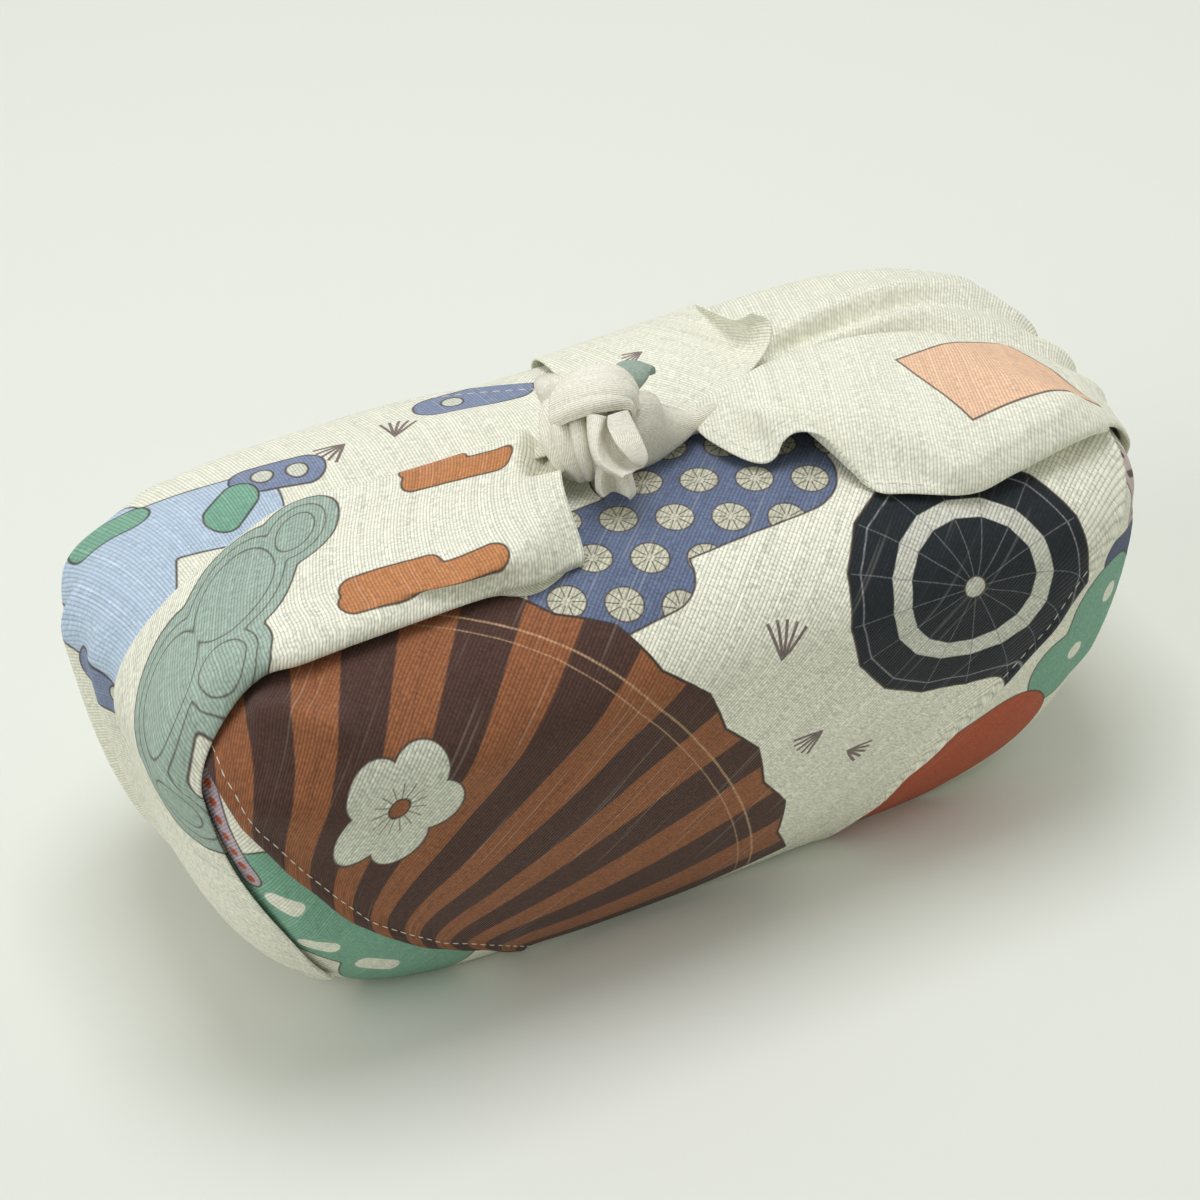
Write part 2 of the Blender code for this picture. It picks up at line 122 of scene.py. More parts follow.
# ---------------------------------------------------------------------------------------------
# The filled bundle: the load with the cloth's lower layers drawn tight round it, cream at the
# left end, green and rust where the print comes round the front corners. It is one padded form,
# a loaf that is widest near its top and flat where it rests.
# ---------------------------------------------------------------------------------------------
CM = 0.01
MM = 0.001
HALF_LENGTH = 14.0 * CM
HALF_DEPTH = 6.8 * CM
TOP = 11.4 * CM
WIDEST = 9.0 * CM
LOWER_DEPTH = 10.35 * CM
END_SQUARENESS = 5.8
SIDE_SQUARENESS = 4.0
ROUNDNESS = 1.8
CORE = HALF_LENGTH - HALF_DEPTH
BUNDLE_CELLS = (120, 58, 58)
BASE_TRIM = 0.3 * MM         # cut off the base, so that it is flat where it rests
CREASE_START = 2.5 * CM      # height below which the creases fade towards the base
SEAM_JUMP = 0.2              # metres between the corners of a face that crosses the map's end
COTTON_ROUGHNESS = 0.82
COTTON_GLOSS = 0.28
COTTON_SHEEN = 0.12
SHEEN_ROUGHNESS = 0.5
RIB_RELIEF = 0.2 * MM
THREAD = "flat"              # the UV map that holds a point's place in the flat cloth, in metres
INK_WOBBLE = 0.1 * MM        # by which the print's edges stray from their line
SKIN_HALVINGS = 32
PROFILE_STEPS = 400
CREASE_POINTS = 60
CREASE_ENDS = 1 / 5          # of a crease's length, over which it fades at either end


def fullness(points):
    """1 on the bundle's skin, less inside it and more outside."""
    x, y, z = points[..., 0], points[..., 1], points[..., 2]
    level = np.where(z > WIDEST, (z - WIDEST) / (TOP - WIDEST), (WIDEST - z) / LOWER_DEPTH)
    plan = np.abs(x / HALF_LENGTH) ** END_SQUARENESS + np.abs(y / HALF_DEPTH) ** SIDE_SQUARENESS
    return plan + np.maximum(level, 0.0) ** ROUNDNESS


def out_to_skin(start, heading):
    """Follow rays from points inside the bundle out to its skin."""
    near = np.zeros(start.shape[:-1])
    far = np.full(start.shape[:-1], 2.0 * HALF_LENGTH)
    for _ in range(SKIN_HALVINGS):
        middle = 0.5 * (near + far)
        inside = fullness(start + middle[..., None] * heading) < 1.0
        near = np.where(inside, middle, near)
        far = np.where(inside, far, middle)
    return start + near[..., None] * heading


def outward(points):
    """Unit normals of the bundle's skin."""
    step = 0.1 * MM
    slope = np.stack([fullness(points + step * axis) - fullness(points - step * axis)
                      for axis in np.eye(3)], axis=-1)
    return slope / np.linalg.norm(slope, axis=-1, keepdims=True)


def press(points):
    """Move points onto the bundle, straight away from its long core."""
    heart = np.zeros_like(points)
    heart[..., 0] = np.clip(points[..., 0], -CORE, CORE)
    heart[..., 2] = WIDEST
    heading = points - heart
    return out_to_skin(heart, heading / np.linalg.norm(heading, axis=-1, keepdims=True))


def smooth_line(rows, count, spread=None):
    """Points on the Catmull-Rom curve through the rows; the fourth column is a lift in mm."""
    rows = np.asarray(rows, float)
    ends = np.vstack([2 * rows[0] - rows[1], rows, 2 * rows[-1] - rows[-2]])
    t = np.arange(0, 1, 0.05)[:, None]
    fine = [0.5 * (2 * b + (c - a) * t + (2 * a - 5 * b + 4 * c - d) * t ** 2
                   + (3 * b - a - 3 * c + d) * t ** 3)
            for a, b, c, d in zip(ends, ends[1:], ends[2:], ends[3:])]
    fine = np.vstack(fine + [rows[-1:]])
    reach = fine * ([1, 1, 1, 0.1] if rows.shape[1] == 4 else [1] * rows.shape[1])
    steps = np.linalg.norm(np.diff(reach, axis=0), axis=1)
    travelled = np.concatenate([[0.0], np.cumsum(steps)])
    wanted = np.linspace(0.0, 1.0, count) if spread is None else spread
    return np.stack([np.interp(wanted * travelled[-1], travelled, c) for c in fine.T], axis=-1)


def crease_lift(points, creases):
    """Lift in metres of soft ridges (height above 0) and troughs (below 0), given in cm and mm."""
    lift = np.zeros(points.shape[:-1])
    for rows, height, width in creases:
        line = press(smooth_line(rows, CREASE_POINTS) * CM)
        away = np.full(points.shape[:-1], np.inf)
        along = np.zeros(points.shape[:-1])
        for i, (a, b) in enumerate(zip(line, line[1:])):
            run = b - a
            t = np.clip((points - a) @ run / run.dot(run), 0, 1)
            gap = np.linalg.norm(points - a - t[..., None] * run, axis=-1)
            along = np.where(gap < away, (i + t) / (CREASE_POINTS - 1), along)
            away = np.minimum(gap, away)
        fade = np.clip(np.minimum(along, 1 - along) / CREASE_ENDS, 0, 1)
        lift += height * MM * np.exp(-(away / (width * MM)) ** 2) * fade * fade * (3 - 2 * fade)
    return lift


def tint(code):
    """Linear colour of a hex code."""
    parts = [int(code[i:i + 2], 16) / 255 for i in (1, 3, 5)]
    return tuple(c / 12.92 if c < 0.04045 else ((c + 0.055) / 1.055) ** 2.4 for c in parts) + (1.0,)


class Dye:
    """The shader of one printed cloth. Its methods return node sockets."""

    def __init__(self, name):
        self.material = bpy.data.materials.new(name)
        self.material.use_nodes = True
        self.tree = self.material.node_tree
        self.shader = self.tree.nodes["Principled BSDF"]
        flat = self.node("ShaderNodeUVMap", uv_map=THREAD).outputs["UV"]
        split = self.node("ShaderNodeSeparateXYZ", {0: flat})
        self.along, self.across = split.outputs[0], split.outputs[1]
        shaky = self.node("ShaderNodeTexNoise", {"Vector": flat, "Scale": 140.0, "Detail": 2.0})
        moved = self.node("ShaderNodeVectorMath", {0: shaky.outputs["Color"], 1: (0.5, 0.5, 0.5)},
                          operation="SUBTRACT").outputs[0]
        moved = self.node("ShaderNodeVectorMath", {0: moved, "Scale": 4 * INK_WOBBLE}, operation="SCALE")
        drawn = self.node("ShaderNodeVectorMath", {0: flat, 1: moved.outputs[0]}, operation="ADD")
        split = self.node("ShaderNodeSeparateXYZ", {0: drawn.outputs[0]})
        self.drawn = split.outputs[0], split.outputs[1]

    def node(self, kind, inputs=(), **settings):
        node = self.tree.nodes.new(kind)
        for key, value in settings.items():
            setattr(node, key, value)
        for slot, value in dict(inputs).items():
            if isinstance(value, bpy.types.NodeSocket):
                self.tree.links.new(value, node.inputs[slot])
            else:
                node.inputs[slot].default_value = value
        return node

    def calc(self, operation, *values):
        return self.node("ShaderNodeMath", enumerate(values), operation=operation).outputs[0]

    def add(self, a, b):
        return self.calc("ADD", a, b)

    def minus(self, a, b):
        return self.calc("SUBTRACT", a, b)

    def times(self, a, b):
        return self.calc("MULTIPLY", a, b)

    def common(self, a, b):
        """The larger value, which is the distance from what two shapes share."""
        return self.calc("MAXIMUM", a, b)

    def noise(self, x, y, detail=0.0):
        place = self.node("ShaderNodeCombineXYZ", {0: x, 1: y}).outputs[0]
        settings = {"Vector": place, "Scale": 1.0, "Detail": detail}
        return self.node("ShaderNodeTexNoise", settings, noise_dimensions="2D").outputs["Fac"]

    def ramp(self, value, low, high, to_low=0.0, to_high=1.0):
        inputs = {0: value, 1: low, 2: high, 3: to_low, 4: to_high}
        return self.node("ShaderNodeMapRange", inputs, interpolation_type="SMOOTHSTEP").outputs[0]

    def blend(self, share, under, over):
        inputs = {0: share, 6: under, 7: over}
        return self.node("ShaderNodeMix", inputs, data_type="RGBA").outputs[2]

    # Shapes of the print, as distances in metres: below 0 inside, above 0 outside.
    def spot(self, x, y, turn=0.0):
        """The print's coordinates from a point given in cm, turned by degrees."""
        dx = self.minus(self.drawn[0], x * CM)
        dy = self.minus(self.drawn[1], y * CM)
        c, s = math.cos(math.radians(turn)), math.sin(math.radians(turn))
        return (self.add(self.times(dx, c), self.times(dy, s)),
                self.minus(self.times(dy, c), self.times(dx, s)))

    def length(self, place):
        squares = self.calc("MULTIPLY_ADD", place[0], place[0], self.times(place[1], place[1]))
        return self.calc("SQRT", squares)

    def polar(self, x, y, turn=0.0):
        """Distance and bearing from a point given in cm, turned by degrees."""
        place = self.spot(x, y, turn)
        return self.length(place), self.calc("ARCTAN2", place[1], place[0])

    def disc(self, x, y, radius):
        return self.minus(self.length(self.spot(x, y)), radius * CM)

    def bar(self, x, y, half_length, half_width, turn=0.0):
        """A band with round ends."""
        px, py = self.spot(x, y, turn)
        straight = (half_length - half_width) * CM
        stem = self.common(self.minus(self.calc("ABSOLUTE", px), straight), 0.0)
        return self.minus(self.length((stem, py)), half_width * CM)

    def union(self, *distances):
        total = distances[0]
        for distance in distances[1:]:
            total = self.calc("SMOOTH_MIN", total, distance, 0.2 * CM)
        return total

    def inside(self, distance, edge=0.25 * MM):
        return self.ramp(distance, -edge, edge, 1.0, 0.0)

    def stroke(self, distance, half_width=0.3 * MM):
        return self.inside(self.minus(self.calc("ABSOLUTE", distance), half_width))

    def patch(self, under, distance, colour, line=None, half_width=0.3 * MM):
        """Print a flat colour inside a shape, and its outline."""
        over = self.blend(self.inside(distance), under, colour)
        if line:
            over = self.blend(self.times(self.stroke(distance, half_width), 0.9), over, line)
        return over

    def blossom(self, under, x, y, radius, petals, middle, line, turn=0.0):
        """A round flower of five petals with stamens."""
        far, angle = self.polar(x, y, turn)
        fold = self.calc("PINGPONG", angle, math.pi / 5)
        side = self.times(far, self.calc("SINE", fold))
        out = self.minus(self.times(far, self.calc("COSINE", fold)), 0.56 * radius * CM)
        petal = self.minus(self.length((out, side)), 0.44 * radius * CM)
        flower = self.patch(under, petal, petals, line)
        gap = self.minus(far, 0.16 * radius * CM)
        rays = self.calc("PINGPONG", angle, math.pi / 15)
        hair = self.minus(self.times(far, self.calc("SINE", rays)), 0.15 * MM)
        hair = self.common(hair, self.minus(far, 0.42 * radius * CM))
        flower = self.blend(self.times(self.inside(hair), 0.8), flower, line)
        return self.patch(flower, gap, middle, line)

    def needles(self, under, x, y, length, turn, spread, line, count=9, half_width=0.22 * MM):
        """A tuft of pine needles that fan out from one point."""
        far, angle = self.polar(x, y, turn)
        opening = math.radians(spread)
        ray = self.calc("PINGPONG", angle, opening / count)
        width = self.minus(self.times(far, self.calc("SINE", ray)), half_width)
        ends = self.minus(far, length * CM)
        sides = self.minus(self.calc("ABSOLUTE", angle), opening)
        tuft = self.common(self.common(width, ends), self.times(sides, far))
        return self.blend(self.times(self.inside(tuft, 0.15 * MM), 0.85), under, line)

    def woven(self, colour, turn=0.0, rib=0.9 * MM, depth=1.0, slubs=1.0):
        """Finish: ribs that run across the direction `turn`, with painted shade that darkens the gaps
        between ribs and lightens their crowns, slubs, and a soft dull sheen.
        """
        c, s = math.cos(math.radians(turn)), math.sin(math.radians(turn))
        over = self.add(self.times(self.along, c), self.times(self.across, s))
        run = self.minus(self.times(self.across, c), self.times(self.along, s))
        drift = self.noise(self.times(over, 12.0), self.times(run, 5.0), 1.0)
        over = self.calc("MULTIPLY_ADD", drift, 3.0 * MM, over)
        count = self.times(over, 1 / rib)
        number = self.calc("FLOOR", count)
        crown = self.calc("SINE", self.times(self.calc("FRACT", count), math.pi))
        crown = self.calc("POWER", self.common(crown, 0.0), 0.7)
        own = self.times(number, 7.31)
        thick = self.noise(own, self.times(run, 25.0), 1.0)
        bead = self.noise(self.times(number, 5.13), self.times(run, 1 / (0.65 * MM)))
        slub = self.ramp(self.noise(self.add(own, 3.7), self.times(run, 15.0), 1.0), 0.64, 0.74)
        slub = self.times(self.times(slub, slubs), crown)
        height = self.calc("MULTIPLY_ADD", bead, 0.4, crown)
        height = self.calc("MULTIPLY_ADD", thick, 0.4, height)
        height = self.calc("MULTIPLY_ADD", slub, 0.6, height)
        # painted shade: each rib's crown is painted lighter and the gap between ribs darker, on top of
        # the bump; the yarn's uneven tone and the paler slubs are added below
        painted_rib_shade_and_tone = self.calc("MULTIPLY_ADD", crown, 0.26 * depth, 1.0 - 0.20 * depth)
        for grain, strength in ((thick, 0.20), (bead, 0.40)):
            uneven = self.minus(grain, 0.5)
            painted_rib_shade_and_tone = self.calc("MULTIPLY_ADD", uneven, strength * depth, painted_rib_shade_and_tone)
        painted_rib_shade_and_tone = self.calc("MULTIPLY_ADD", slub, 0.10, painted_rib_shade_and_tone)
        ground = colour if isinstance(colour, bpy.types.NodeSocket) else colour[:3]
        toned = self.node("ShaderNodeVectorMath", {0: ground, "Scale": painted_rib_shade_and_tone}, operation="SCALE")
        faded = self.blend(self.times(slub, 0.07), toned.outputs[0], tint("#F4F2E2"))
        self.tree.links.new(faded, self.shader.inputs["Base Color"])
        bump = self.node("ShaderNodeBump", {"Height": height, "Strength": 0.8,
                                            "Distance": RIB_RELIEF})
        self.tree.links.new(bump.outputs[0], self.shader.inputs["Normal"])
        self.shader.inputs["Roughness"].default_value = COTTON_ROUGHNESS
        self.shader.inputs["Specular IOR Level"].default_value = COTTON_GLOSS
        self.shader.inputs["Sheen Weight"].default_value = COTTON_SHEEN
        self.shader.inputs["Sheen Roughness"].default_value = SHEEN_ROUGHNESS
        return self.material


CREAM = tint("#EDEDDC")
LINE = tint("#4A3A33")
GREEN = tint("#7DAE96")
LIGHT_BLUE = tint("#BACDE0")
SLATE = tint("#8390AC")
RUST = tint("#B4532F")


def link(name, mesh):
    """Put a mesh in the scene as a smooth object that rides on the frame's one body."""
    mesh.shade_smooth()
    thing = bpy.data.objects.new(name, mesh)
    bpy.context.scene.collection.objects.link(thing)
    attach(thing, "root")
    return thing


def blown_up_box():
    """A box mesh blown up to the bundle and cut flat at the floor."""
    work = bmesh.new()
    bmesh.ops.create_cube(work, size=2.0)
    for axis, cells in enumerate(BUNDLE_CELLS):
        parallel = [e for e in work.edges if e.verts[0].co[axis] * e.verts[1].co[axis] < -0.5]
        bmesh.ops.subdivide_edges(work, edges=parallel, cuts=cells - 1, use_grid_fill=True)
    box = np.array([v.co[:] for v in work.verts])
    box = box * (HALF_LENGTH, HALF_DEPTH, LOWER_DEPTH)
    box[:, 2] = np.where(box[:, 2] > 0, box[:, 2] * (TOP - WIDEST) / LOWER_DEPTH, box[:, 2]) + WIDEST
    for vert, place in zip(work.verts, press(box)):
        vert.co = place
    cut = bmesh.ops.bisect_plane(work, geom=work.verts[:] + work.edges[:] + work.faces[:],
                                 plane_co=(0, 0, BASE_TRIM), plane_no=(0, 0, 1), clear_inner=True)
    rim = [e for e in cut["geom_cut"] if isinstance(e, bmesh.types.BMEdge)]
    bmesh.ops.contextual_create(work, geom=rim)
    bmesh.ops.recalc_face_normals(work, faces=work.faces)
    mesh = bpy.data.meshes.new("bundle")
    work.to_mesh(mesh)
    work.free()
    return mesh


def girth_and_drop(points):
    """Distance round the bundle from the middle of its front, and down from its ridge."""
    x, y, z = points[..., 0], points[..., 1], points[..., 2]
    angles = np.linspace(0, np.pi, PROFILE_STEPS)
    start = np.tile((CORE, 0.0, WIDEST), (PROFILE_STEPS, 1))
    heading = np.stack([np.sin(angles), -np.cos(angles), 0 * angles], axis=-1)
    rim = out_to_skin(start, heading)
    arc = np.concatenate([[0], np.cumsum(np.linalg.norm(np.diff(rim, axis=0), axis=1))])
    beyond = np.maximum(np.abs(x) - CORE, 0.0)
    bearing = np.arctan2(beyond, -y)
    side = np.minimum(np.abs(x), CORE) + np.interp(bearing, angles, arc)
    behind = CORE * 2 + arc[-1] - np.minimum(np.abs(x), CORE)
    girth = np.where(beyond > 0, side, np.where(y < 0, np.abs(x), behind)) * np.sign(x)
    turns = np.linspace(0, np.pi, PROFILE_STEPS)
    profile = out_to_skin(np.tile((0.0, 0.0, WIDEST), (PROFILE_STEPS, 1)),
                          np.stack([0 * turns, -np.sin(turns), np.cos(turns)], axis=-1))
    fall = np.concatenate([[0], np.cumsum(np.linalg.norm(np.diff(profile, axis=0), axis=1))])
    leaning = np.arctan2(np.hypot(beyond, y), z - WIDEST)
    return girth, np.interp(leaning, turns, fall)


def unrolled(points):
    """Where points on the skin lie when the bundle's top is rolled out flat, in metres."""
    drop = girth_and_drop(points)[1]
    inner = np.clip(points[..., 0], -CORE, CORE)
    bearing = np.arctan2(points[..., 1], points[..., 0] - inner)
    return np.stack([inner + drop * np.cos(bearing), drop * np.sin(bearing)], axis=-1)


BUNDLE_CREASES = (
    # (rows of x, y, z in cm), height mm, half width mm
    (((-13.6, -4.9, 9.2), (-13.2, -5.4, 7.4), (-12.4, -5.6, 5.4), (-11.2, -5.4, 2.6)), 1.6, 5.0),
    (((-13.3, -5.3, 7.0), (-12.0, -6.0, 5.4), (-9.6, -6.2, 3.6)), -0.8, 7.0),
    (((13.6, -4.4, 8.6), (12.9, -5.2, 6.0), (11.6, -5.4, 3.0)), 1.4, 6.0),
    (((14.0, -1.8, 8.0), (13.4, -2.6, 5.0), (12.0, -3.4, 1.6)), 1.8, 7.0),
    (((14.0, 1.0, 8.6), (13.4, 0.4, 5.0), (12.0, -0.6, 1.6)), -1.4, 6.0),
    (((13.8, 3.0, 8.6), (13.2, 2.8, 5.0), (12.0, 2.2, 1.6)), 1.8, 7.0),
    (((-14.0, 1.6, 9.0), (-13.6, 1.2, 6.0), (-12.4, 0.2, 2.2)), 2.0, 6.0),
    (((-13.9, 3.4, 9.0), (-13.2, 3.2, 6.0), (-12.2, 2.6, 2.2)), -1.4, 6.0),
    (((-13.2, 5.0, 9.4), (-12.6, 5.2, 6.4), (-11.4, 5.0, 3.0)), 1.8, 8.0),
    (((-9.0, 6.4, 10.0), (-10.6, 6.4, 7.0), (-11.2, 5.8, 3.6)), 1.8, 7.0),
    (((8.6, 6.4, 10.0), (10.4, 6.4, 7.0), (11.2, 5.8, 3.6)), 1.8, 7.0),
    (((-3.4, 6.6, 9.6), (-6.0, 6.8, 6.4), (-8.0, 6.2, 3.0)), 1.8, 7.0),
    (((-1.6, 6.6, 9.0), (-4.0, 6.8, 5.6), (-6.4, 6.0, 2.2)), -1.0, 7.0),
    (((2.8, 6.6, 9.8), (5.2, 6.8, 6.8), (7.6, 6.2, 3.4)), 1.8, 7.0),
    (((1.2, 6.6, 9.2), (3.0, 6.8, 5.8), (5.4, 6.0, 2.2)), -1.0, 7.0),
)

mesh = blown_up_box()
at = np.empty(len(mesh.vertices) * 3)
mesh.vertices.foreach_get("co", at)
at = at.reshape(-1, 3)
girth, drop = girth_and_drop(at)
rise = np.clip(at[:, 2] / CREASE_START, 0, 1)
lift = crease_lift(at, BUNDLE_CREASES) * rise
at = at + outward(at) * lift[:, None]
mesh.vertices.foreach_set("co", at.ravel())
corners = np.empty(len(mesh.loops), int)
mesh.loops.foreach_get("vertex_index", corners)
owner = np.repeat(np.arange(len(mesh.polygons)), [len(p.vertices) for p in mesh.polygons])
place = np.stack([girth[corners], drop[corners]], axis=-1)
turned = np.full(len(mesh.polygons), -np.inf)
np.maximum.at(turned, owner, place[:, 0])
round_trip = 2 * girth.max()
place[:, 0] += np.where(turned[owner] - place[:, 0] > SEAM_JUMP, round_trip, 0.0)
flat = mesh.uv_layers.new(name=THREAD)
flat.uv.foreach_set("vector", place.astype(np.float32).ravel())

dye = Dye("printed cotton, lower layers")
colour = CREAM
green = dye.union(dye.bar(-11.4, 12.3, 3.6, 1.7, 42), dye.disc(-9.4, 15.6, 2.4))
colour = dye.patch(colour, green, GREEN, LINE)
for x, y, size in ((-12.0, 13.2, 0.42), (-10.4, 15.0, 0.5), (-12.6, 11.2, 0.36)):
    colour = dye.patch(colour, dye.bar(x, y, size * 1.6, size * 0.7, 35), CREAM)
strip = dye.bar(-13.9, 8.9, 1.9, 0.32, 72)
colour = dye.patch(colour, strip, tint("#B9A9B4"), LINE)
for step in range(8):
    colour = dye.patch(colour, dye.disc(-14.4 + step * 0.14, 7.3 + step * 0.45, 0.13), RUST)
strip = dye.bar(13.9, 7.4, 1.9, 0.7, 92)
colour = dye.patch(colour, strip, tint("#C4B2AE"), LINE)
for step in range(6):
    mark = dye.bar(13.9, 5.9 + step * 0.55, 0.42, 0.09, 28)
    colour = dye.patch(colour, mark, LINE)
colour = dye.patch(colour, dye.bar(12.9, 9.15, 1.1, 0.5, 10), tint("#4F5A78"), LINE)
green = dye.union(dye.bar(12.2, 11.0, 1.9, 1.5, 100), dye.disc(10.9, 12.2, 1.3))
colour = dye.patch(colour, green, GREEN, LINE)
for x, y in ((12.5, 10.3), (11.4, 11.8)):
    colour = dye.patch(colour, dye.disc(x, y, 0.3), CREAM)
rust = dye.union(dye.bar(7.4, 15.2, 3.8, 1.7, -24), dye.disc(5.4, 16.6, 1.6))
colour = dye.patch(colour, rust, RUST, LINE)
blue = dye.union(dye.bar(-19.0, 6.2, 3.4, 2.6, 80), dye.bar(-22.0, 8.0, 4.4, 2.4, 70),
                 dye.bar(-24.0, 4.0, 4.0, 2.4, 20))
colour = dye.patch(colour, blue, LIGHT_BLUE, LINE)
mesh.materials.append(dye.woven(colour, 45))
bundle = link("bundle", mesh)
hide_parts("wrap")

# ---------------------------------------------------------------------------------------------
# The front flap: one corner of the square, brought over the top and down the front, with its
# tip tucked under the base. Its two slanting sides are the cloth's own narrow sewn hems.
# ---------------------------------------------------------------------------------------------
FLAP_HEMS = (
    # height, left hem x, right hem x
    (0.2, -5.6, 3.9), (1.3, -6.9, 5.0), (2.5, -8.6, 5.8), (4.5, -10.6, 7.7), (6.8, -12.1, 9.9),
    (8.3, -12.9, 11.0), (9.5, -13.3, 12.2), (10.3, -13.3, 13.0), (11.4, -13.2, 13.2),
)
FLAP_TURNS = (128.0, -78.0)
FLAP_CELLS = (230, 170)
FLAP_LIFT = 1.6 * MM
LEAST_HEIGHT = 0.9 * MM
COTTON = 0.5 * MM
HEM = 4.6 * MM
HEM_STEP = 0.45 * MM
HEM_REACH = 2.2 * CM         # from either hem, over which the mesh is finer
HEM_PASSES = 8
STITCH_DENT = 0.25 * MM
PUCKER = 0.22 * MM
SWAY = 0.5 * MM
STITCH = 2.3 * MM
STITCH_PITCH = 3.5 * MM
STITCH_STEPS = 7
STITCH_SIDES = 6
SEWING_THREAD = 0.18 * MM
FLAP_CREASES = (
    (((-12.9, -4.6, 10.6), (-12.1, -5.0, 10.7), (-11.2, -5.2, 10.6), (-9.8, -5.9, 10.3)), 4.2, 4.6),
    (((-12.9, -5.4, 9.9), (-11.8, -5.9, 9.7), (-10.4, -6.3, 9.4)), -1.2, 4.0),
    (((-13.1, -5.0, 9.2), (-11.8, -6.3, 8.6), (-9.6, -6.8, 7.4)), 1.3, 8.0),
    (((-11.2, -5.2, 10.6), (-9.2, -6.3, 9.8), (-6.0, -6.8, 8.6)), 1.2, 10.0),
    (((-8.8, -6.6, 4.6), (-6.2, -6.7, 5.6), (-3.0, -6.8, 7.4)), 0.8, 12.0),
    (((11.6, -5.4, 10.0), (9.6, -6.4, 8.0), (6.8, -6.7, 5.6)), 0.9, 9.0),
)


def edged(count, width, reach):
    """Shares of a width, 0 to 1, close together within `reach` of both ends."""
    t = np.linspace(0, 1, count)
    return t - reach / width * np.sin(2 * np.pi * t) / (2 * np.pi) * 4


def sheet_mesh(name, points, flat, thickness=COTTON):
    """A sheet of cloth through a grid of points; `flat` is each point's place in the cut cloth."""
    rows, columns = points.shape[:2]
    number = np.arange(rows * columns).reshape(rows, columns)
    faces = np.stack([number[:-1, :-1], number[1:, :-1], number[1:, 1:], number[:-1, 1:]], axis=-1)
    mesh = bpy.data.meshes.new(name)
    mesh.from_pydata(points.reshape(-1, 3).tolist(), [], faces.reshape(-1, 4).tolist())
    uv = mesh.uv_layers.new(name=THREAD)
    uv.uv.foreach_set("vector", flat.reshape(-1, 2)[faces.reshape(-1)].astype(np.float32).ravel())
    middle = points[rows // 2, columns // 2]
    face = mesh.polygons[(rows // 2) * (columns - 1) + columns // 2]
    if np.dot(outward(middle), face.normal) < 0:
        mesh.flip_normals()
    thing = link(name, mesh)
    solid = thing.modifiers.new("thickness", "SOLIDIFY")
    solid.thickness = thickness
    solid.offset = -1.0
    return thing


def raised(skin, lift):
    """Points `lift` metres over the bundle's skin, and never down in the table."""
    points = skin + outward(skin) * lift[..., None]
    points[..., 2] = np.maximum(points[..., 2], LEAST_HEIGHT)
    return points


def run_lengths(points, axis):
    """Distance travelled along one axis of a grid of points."""
    steps = np.linalg.norm(np.diff(points, axis=axis), axis=-1)
    zero = np.zeros_like(np.take(steps, [0], axis=axis))
    return np.concatenate([zero, np.cumsum(steps, axis=axis)], axis=axis)


def seam_line(points, inside):
    """The line that runs `inside` metres from the first column of a grid of points."""
    reach = run_lengths(points, 1)
    return np.array([[np.interp(inside, far, place) for place in row.T]
                     for far, row in zip(reach, points)])


def sew(name, lines, material):
    """Running stitches along lines on the cloth, as one joined mesh."""
    steps = np.linspace(-1, 1, STITCH_STEPS)
    turns = np.linspace(0, 2 * np.pi, STITCH_SIDES, endpoint=False)
    thick = SEWING_THREAD * np.sqrt(1.0 - 0.95 * steps ** 2)
    points, faces, flat = [], [], []
    for line in lines:
        travelled = run_lengths(line[:, None], 0)[:, 0]
        for start in np.arange(STITCH_PITCH, travelled[-1] - STITCH_PITCH, STITCH_PITCH):
            reach = start + steps * STITCH / 2
            spine = np.stack([np.interp(reach, travelled, place) for place in line.T], axis=-1)
            run = (spine[-1] - spine[0]) / np.linalg.norm(spine[-1] - spine[0])
            side = np.cross(outward(spine[STITCH_STEPS // 2]), run)
            side /= np.linalg.norm(side)
            up = np.cross(run, side)
            first = len(points)
            for place, radius, far in zip(spine, thick, reach):
                for turn in turns:
                    points.append(place + (math.cos(turn) * side + math.sin(turn) * up) * radius)
                    flat.append((far, turn * SEWING_THREAD))
            number = first + np.arange(STITCH_STEPS * STITCH_SIDES).reshape(STITCH_STEPS, -1)
            onward = np.roll(number, -1, axis=1)
            sides = np.stack([number[:-1], onward[:-1], onward[1:], number[1:]], axis=-1)
            faces += sides.reshape(-1, 4).tolist()
            faces += [number[0, ::-1].tolist(), number[-1].tolist()]
    mesh = bpy.data.meshes.new(name)
    mesh.from_pydata([tuple(p) for p in points], [], faces)
    corners = np.empty(len(mesh.loops), int)
    mesh.loops.foreach_get("vertex_index", corners)
    uv = mesh.uv_layers.new(name=THREAD)
    uv.uv.foreach_set("vector", np.array(flat)[corners].astype(np.float32).ravel())
    mesh.materials.append(material)
    return link(name, mesh)


hems = np.array(FLAP_HEMS) * CM
turns = np.radians(np.linspace(*FLAP_TURNS, FLAP_CELLS[1] + 1))
rows = []
for turn in turns:
    heading = np.array([0.0, -np.cos(turn), np.sin(turn)])
    edges = []
    for hem in (1, 2):
        x = hems[-1, hem]
        for _ in range(HEM_PASSES):
            point = out_to_skin(np.array([x, 0.0, WIDEST]), heading)
            if turn < np.pi / 2:
                x = np.interp(max(point[2], 0.0), hems[:, 0], hems[:, hem])
        edges.append(x)
    starts = np.zeros((FLAP_CELLS[0] + 1, 3))
    shares = edged(FLAP_CELLS[0] + 1, edges[1] - edges[0], HEM_REACH)
    starts[:, 0] = edges[0] + (edges[1] - edges[0]) * shares
    starts[:, 2] = WIDEST
    rows.append(out_to_skin(starts, np.broadcast_to(heading, starts.shape)))
skin = np.array(rows)
down = run_lengths(skin, 0)
wide = run_lengths(skin, 1)
middle = np.abs(skin[..., 0]).argmin(axis=1)
